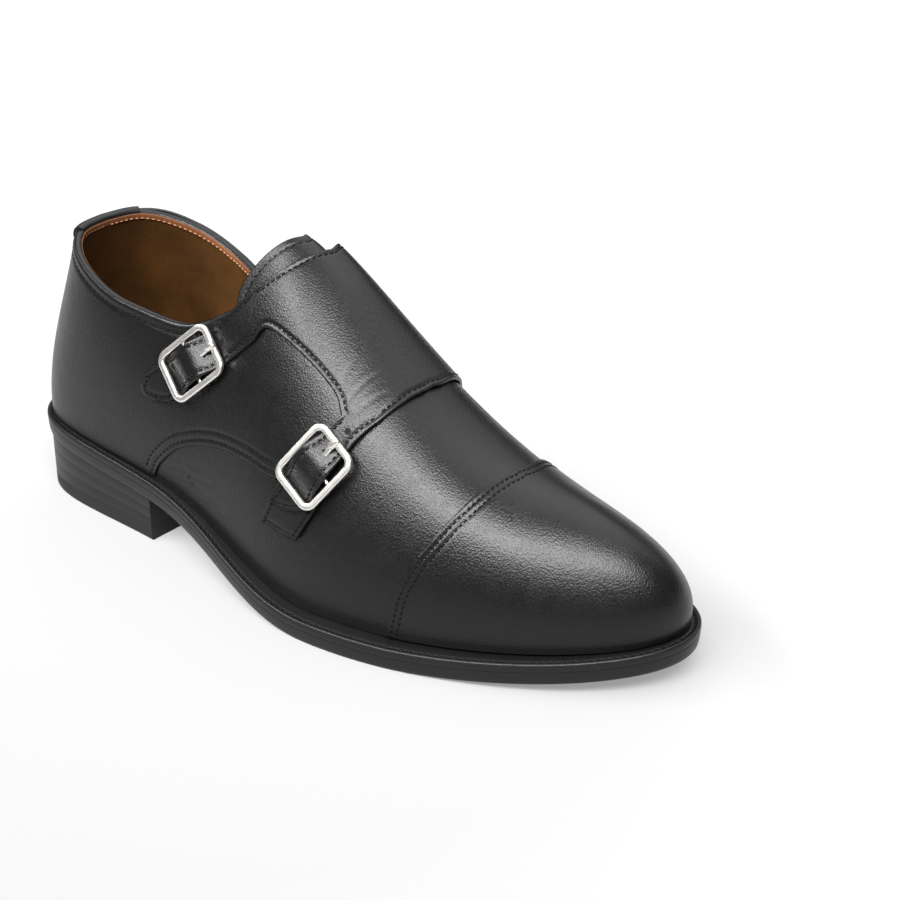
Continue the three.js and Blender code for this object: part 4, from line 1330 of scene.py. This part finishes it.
# ---------------------------------------------------------------------------------------------
# Back stay: a strip of calf laid over the heel seam, where the two quarters meet. Its edges are
# skived, and it is stitched down along both of them.
# ---------------------------------------------------------------------------------------------
STAY_HALF_ROW = 0.4
STAY_THICKNESS = 0.9
STAY_BASE = 1.1
STAY_TOP = 0.86
STAY_STITCH = 1.8
STAY_UNDER = 0.3
stay_sides = [straight_edge([row, FOOT_GIRTH], [row, STAY_TOP]) for row in (-STAY_HALF_ROW, STAY_HALF_ROW)]
from_stay_edge = distance_from(line_points(*stay_sides))


def stay_over(row, girth, points):
    away = from_stay_edge(points)
    return STAY_BASE + STAY_THICKNESS - turned_edge(away, 0.6) - groove(away, STAY_STITCH, 0.5, 0.15)


def stay_places(s, t):
    return STAY_HALF_ROW * (2 * gather(s) - 1), mix(FOOT_GIRTH, STAY_TOP, t)


stay_skin = last_piece("back_stay_strip", [(24, 70, stay_places)], STAY_UNDER, stay_over, "back_stay")
sew_rows("back_stay_stitches", stay_skin, [
    stitch_line(edge, side * STAY_STITCH, STAY_BASE + STAY_THICKNESS, 0.02, 0.97)
    for edge, side in zip(stay_sides, (-1, 1))
])

# ---------------------------------------------------------------------------------------------
# Tongue: calf, lined with calf, 2 mm thick. Its rounded top stands above the flap, with one row of
# stitches 3.6 mm inside the edge.
# ---------------------------------------------------------------------------------------------
TONGUE_TOP_ROW = 5.1
TONGUE_FOOT_ROW = 6.7
TONGUE_HALF_GIRTH = 0.42
TONGUE_FOOT_HALF_GIRTH = 0.24
TONGUE_THICKNESS = 2.0
TONGUE_STITCH = 3.6


def tongue_places(s, t):
    side = 2 * t - 1
    width = mix(TONGUE_HALF_GIRTH, TONGUE_FOOT_HALF_GIRTH, s)
    slope = 2.9 * (np.sqrt((TONGUE_HALF_GIRTH * side) ** 2 + 0.009) - 0.095)
    top = TONGUE_TOP_ROW - slope + 0.55 * np.abs(side) ** 7
    return mix(top, TONGUE_FOOT_ROW, s), 1 + width * side


tongue_top = end_of(tongue_places, 0.0)
tongue_sides = [lambda s, side=side: np.stack(tongue_places(s, np.full_like(s, side))) for side in (0.0, 1.0)]
from_tongue_edge = distance_from(line_points(tongue_top, *tongue_sides))


def tongue_level(row, girth, points=None):
    """The height of the tongue's face over the last, which is below it, under the flap."""
    low = mix(-3.2, -2.5, smooth_step(np.abs(girth - 1), 0.0, 0.12))
    return mix(low, -3.3, smooth_step(row, 5.1, 5.9))


def tongue_over(row, girth, points):
    away = from_tongue_edge(points)
    return tongue_level(row, girth) - turned_edge(away, 0.9) - groove(away, TONGUE_STITCH, 0.8, 0.25)


def tongue_under(row, girth, points):
    return tongue_level(row, girth) - TONGUE_THICKNESS


tongue_sheet = (70, 70, lambda s, t: tongue_places(gather(s, 0.7), gather(t, 0.7)))
tongue_skin = last_piece("tongue_calf", [tongue_sheet], tongue_under, tongue_over, "tongue")
tongue_row = stitch_line(tongue_top, -TONGUE_STITCH, tongue_level, 0.09, 0.91)
sew_rows("tongue_stitches", tongue_skin, [tongue_row], sink=0.15)

# ---------------------------------------------------------------------------------------------
# Lining: brown suede glued inside the whole upper, with a narrow band of tan leather along the
# collar, sewn with pale thread.
# ---------------------------------------------------------------------------------------------
LINING_OUT = -VAMP_THICKNESS - 0.05
LINING_IN = -WALL
LINING_DROP = 0.012


def collar(row, girth):
    """The topline, a little lower, so that the lining ends under the collar's binding."""
    return np.stack([row, girth - LINING_DROP])


def lining_side(s, t):
    row = THROAT_FOOT_ROW * s
    head = collar(*topline(s))
    return mix(row, head[0], t), mix(0, head[1], t)


def lining_inner(s, t):
    row, girth = lining_side(s, t)
    return row, 2 - girth


def lining_front(s, t):
    start = throat_line(2 * t)
    return mix(start[0], TOE_ROW, s), 2 * t


lining_sheets = [(90, 40, lining_side), (90, 40, lining_inner), (60, 80, lining_front)]
last_piece("suede_lining", lining_sheets, LINING_OUT, LINING_IN, finish=suede, slot="footbed")

tan = hide_finish("tan_band", (0.11, 0.042, 0.018, 1), (0.17, 0.068, 0.03, 1), 0.5, 0.3)
BAND_WIDTH = 2.8
BAND_THICKNESS = 0.7
BAND_STITCH = 2.2
BAND_END = 0.93
whole_topline = [topline, mirrored(topline)]


def squared(wave, power):
    """A cosine or sine whose section is drawn out towards a square as the power falls below 1."""
    return np.sign(wave) * np.abs(wave) ** power


def band_points(curve, side):
    """The band's section hangs down inside the lining from the topline."""
    def points_at(s, t):
        reach = BAND_END * s
        row, girth = curve(reach)
        normal = surface_normal(row, girth)
        step = 0.002
        ahead = skin(*curve(np.clip(reach + step, 0, 1)), 0) - skin(*curve(np.clip(reach - step, 0, 1)), 0)
        down = np.cross(ahead, normal) * side
        down /= np.linalg.norm(down, axis=1)[:, None]
        angle = 2 * math.pi * t
        wide = BAND_WIDTH / 2 * (1 - squared(np.cos(angle), 0.5)) + 0.2
        deep = LINING_IN + 0.1 + BAND_THICKNESS / 2 * squared(np.sin(angle), 0.5)
        return surface_point(row, girth) + down * wide[:, None] + normal * deep[:, None]
    return points_at


collar_band = bmesh.new()
for curve, side in zip(whole_topline, (1, -1)):
    warped_grid(collar_band, 160, 16, band_points(curve, side))
close_ends(collar_band)
band_skin = BVHTree.FromBMesh(collar_band)
make_piece("collar_band", collar_band, tan, "footbed", sharp=60)
pale_thread = thread_finish("tan_thread", (0.3, 0.15, 0.075, 1))
band_rows = [
    stitch_line(curve, side * BAND_STITCH, LINING_IN - 0.3, 0.01, 0.86)
    for curve, side in zip(whole_topline, (-1, 1))
]
sew_rows("collar_band_stitches", band_skin, band_rows, pale_thread, "footbed",
         pitch=2.3, length=1.7, width=0.6, sink=-0.15)

# ---------------------------------------------------------------------------------------------
# Collar binding: the topline's edge of black calf, turned in over the wall as a soft bead. At the
# back a tab of the stay is folded over it and ends on each side of the heel.
# ---------------------------------------------------------------------------------------------
BINDING_IN = -2.3
BINDING_OUT = 1.25
BINDING_DEPTH = 1.9
BINDING_END = 0.985
# How far the tab reaches along the topline from the back, as a share of it.
TAB_END = 0.85 / 8


def round_topline(reach):
    """The topline's row and girth, read from -1 on the inner side over the back to 1 on the outer."""
    row, girth = topline(np.abs(reach))
    return row, np.where(reach < 0, 2 - girth, girth)


def bead(start, end, inside, outside, depth, lift):
    """A bead round the topline between two places of it, on both sides of the shoe."""
    def points_at(s, t):
        reach = mix(start, end, s)
        row, girth = round_topline(reach)
        normal = surface_normal(row, girth)
        behind, ahead = (
            surface_point(*round_topline(np.clip(reach + step, start, end))) for step in (-0.003, 0.003)
        )
        up = np.cross(normal, ahead - behind)
        up /= np.linalg.norm(up, axis=1)[:, None]
        angle = 2 * math.pi * t
        wide = (outside + inside) / 2 + (outside - inside) / 2 * squared(np.cos(angle), 0.8)
        tall = lift - depth + depth * squared(np.sin(angle), 0.8)
        return surface_point(row, girth) + normal * wide[:, None] + up * tall[:, None]
    return points_at


binding = bmesh.new()
warped_grid(binding, 420, 20, bead(-BINDING_END, BINDING_END, BINDING_IN, BINDING_OUT, BINDING_DEPTH, 0.5))
close_ends(binding)
make_piece("collar_binding", binding, box_calf, "calf", sharp=60)
heel_tab = bmesh.new()
warped_grid(heel_tab, 90, 24, bead(-TAB_END, TAB_END, BINDING_IN + 0.2, BINDING_OUT + 1.4, 3.0, 1.4))
close_ends(heel_tab)
make_piece("heel_tab", heel_tab, box_calf, "calf", sharp=60)
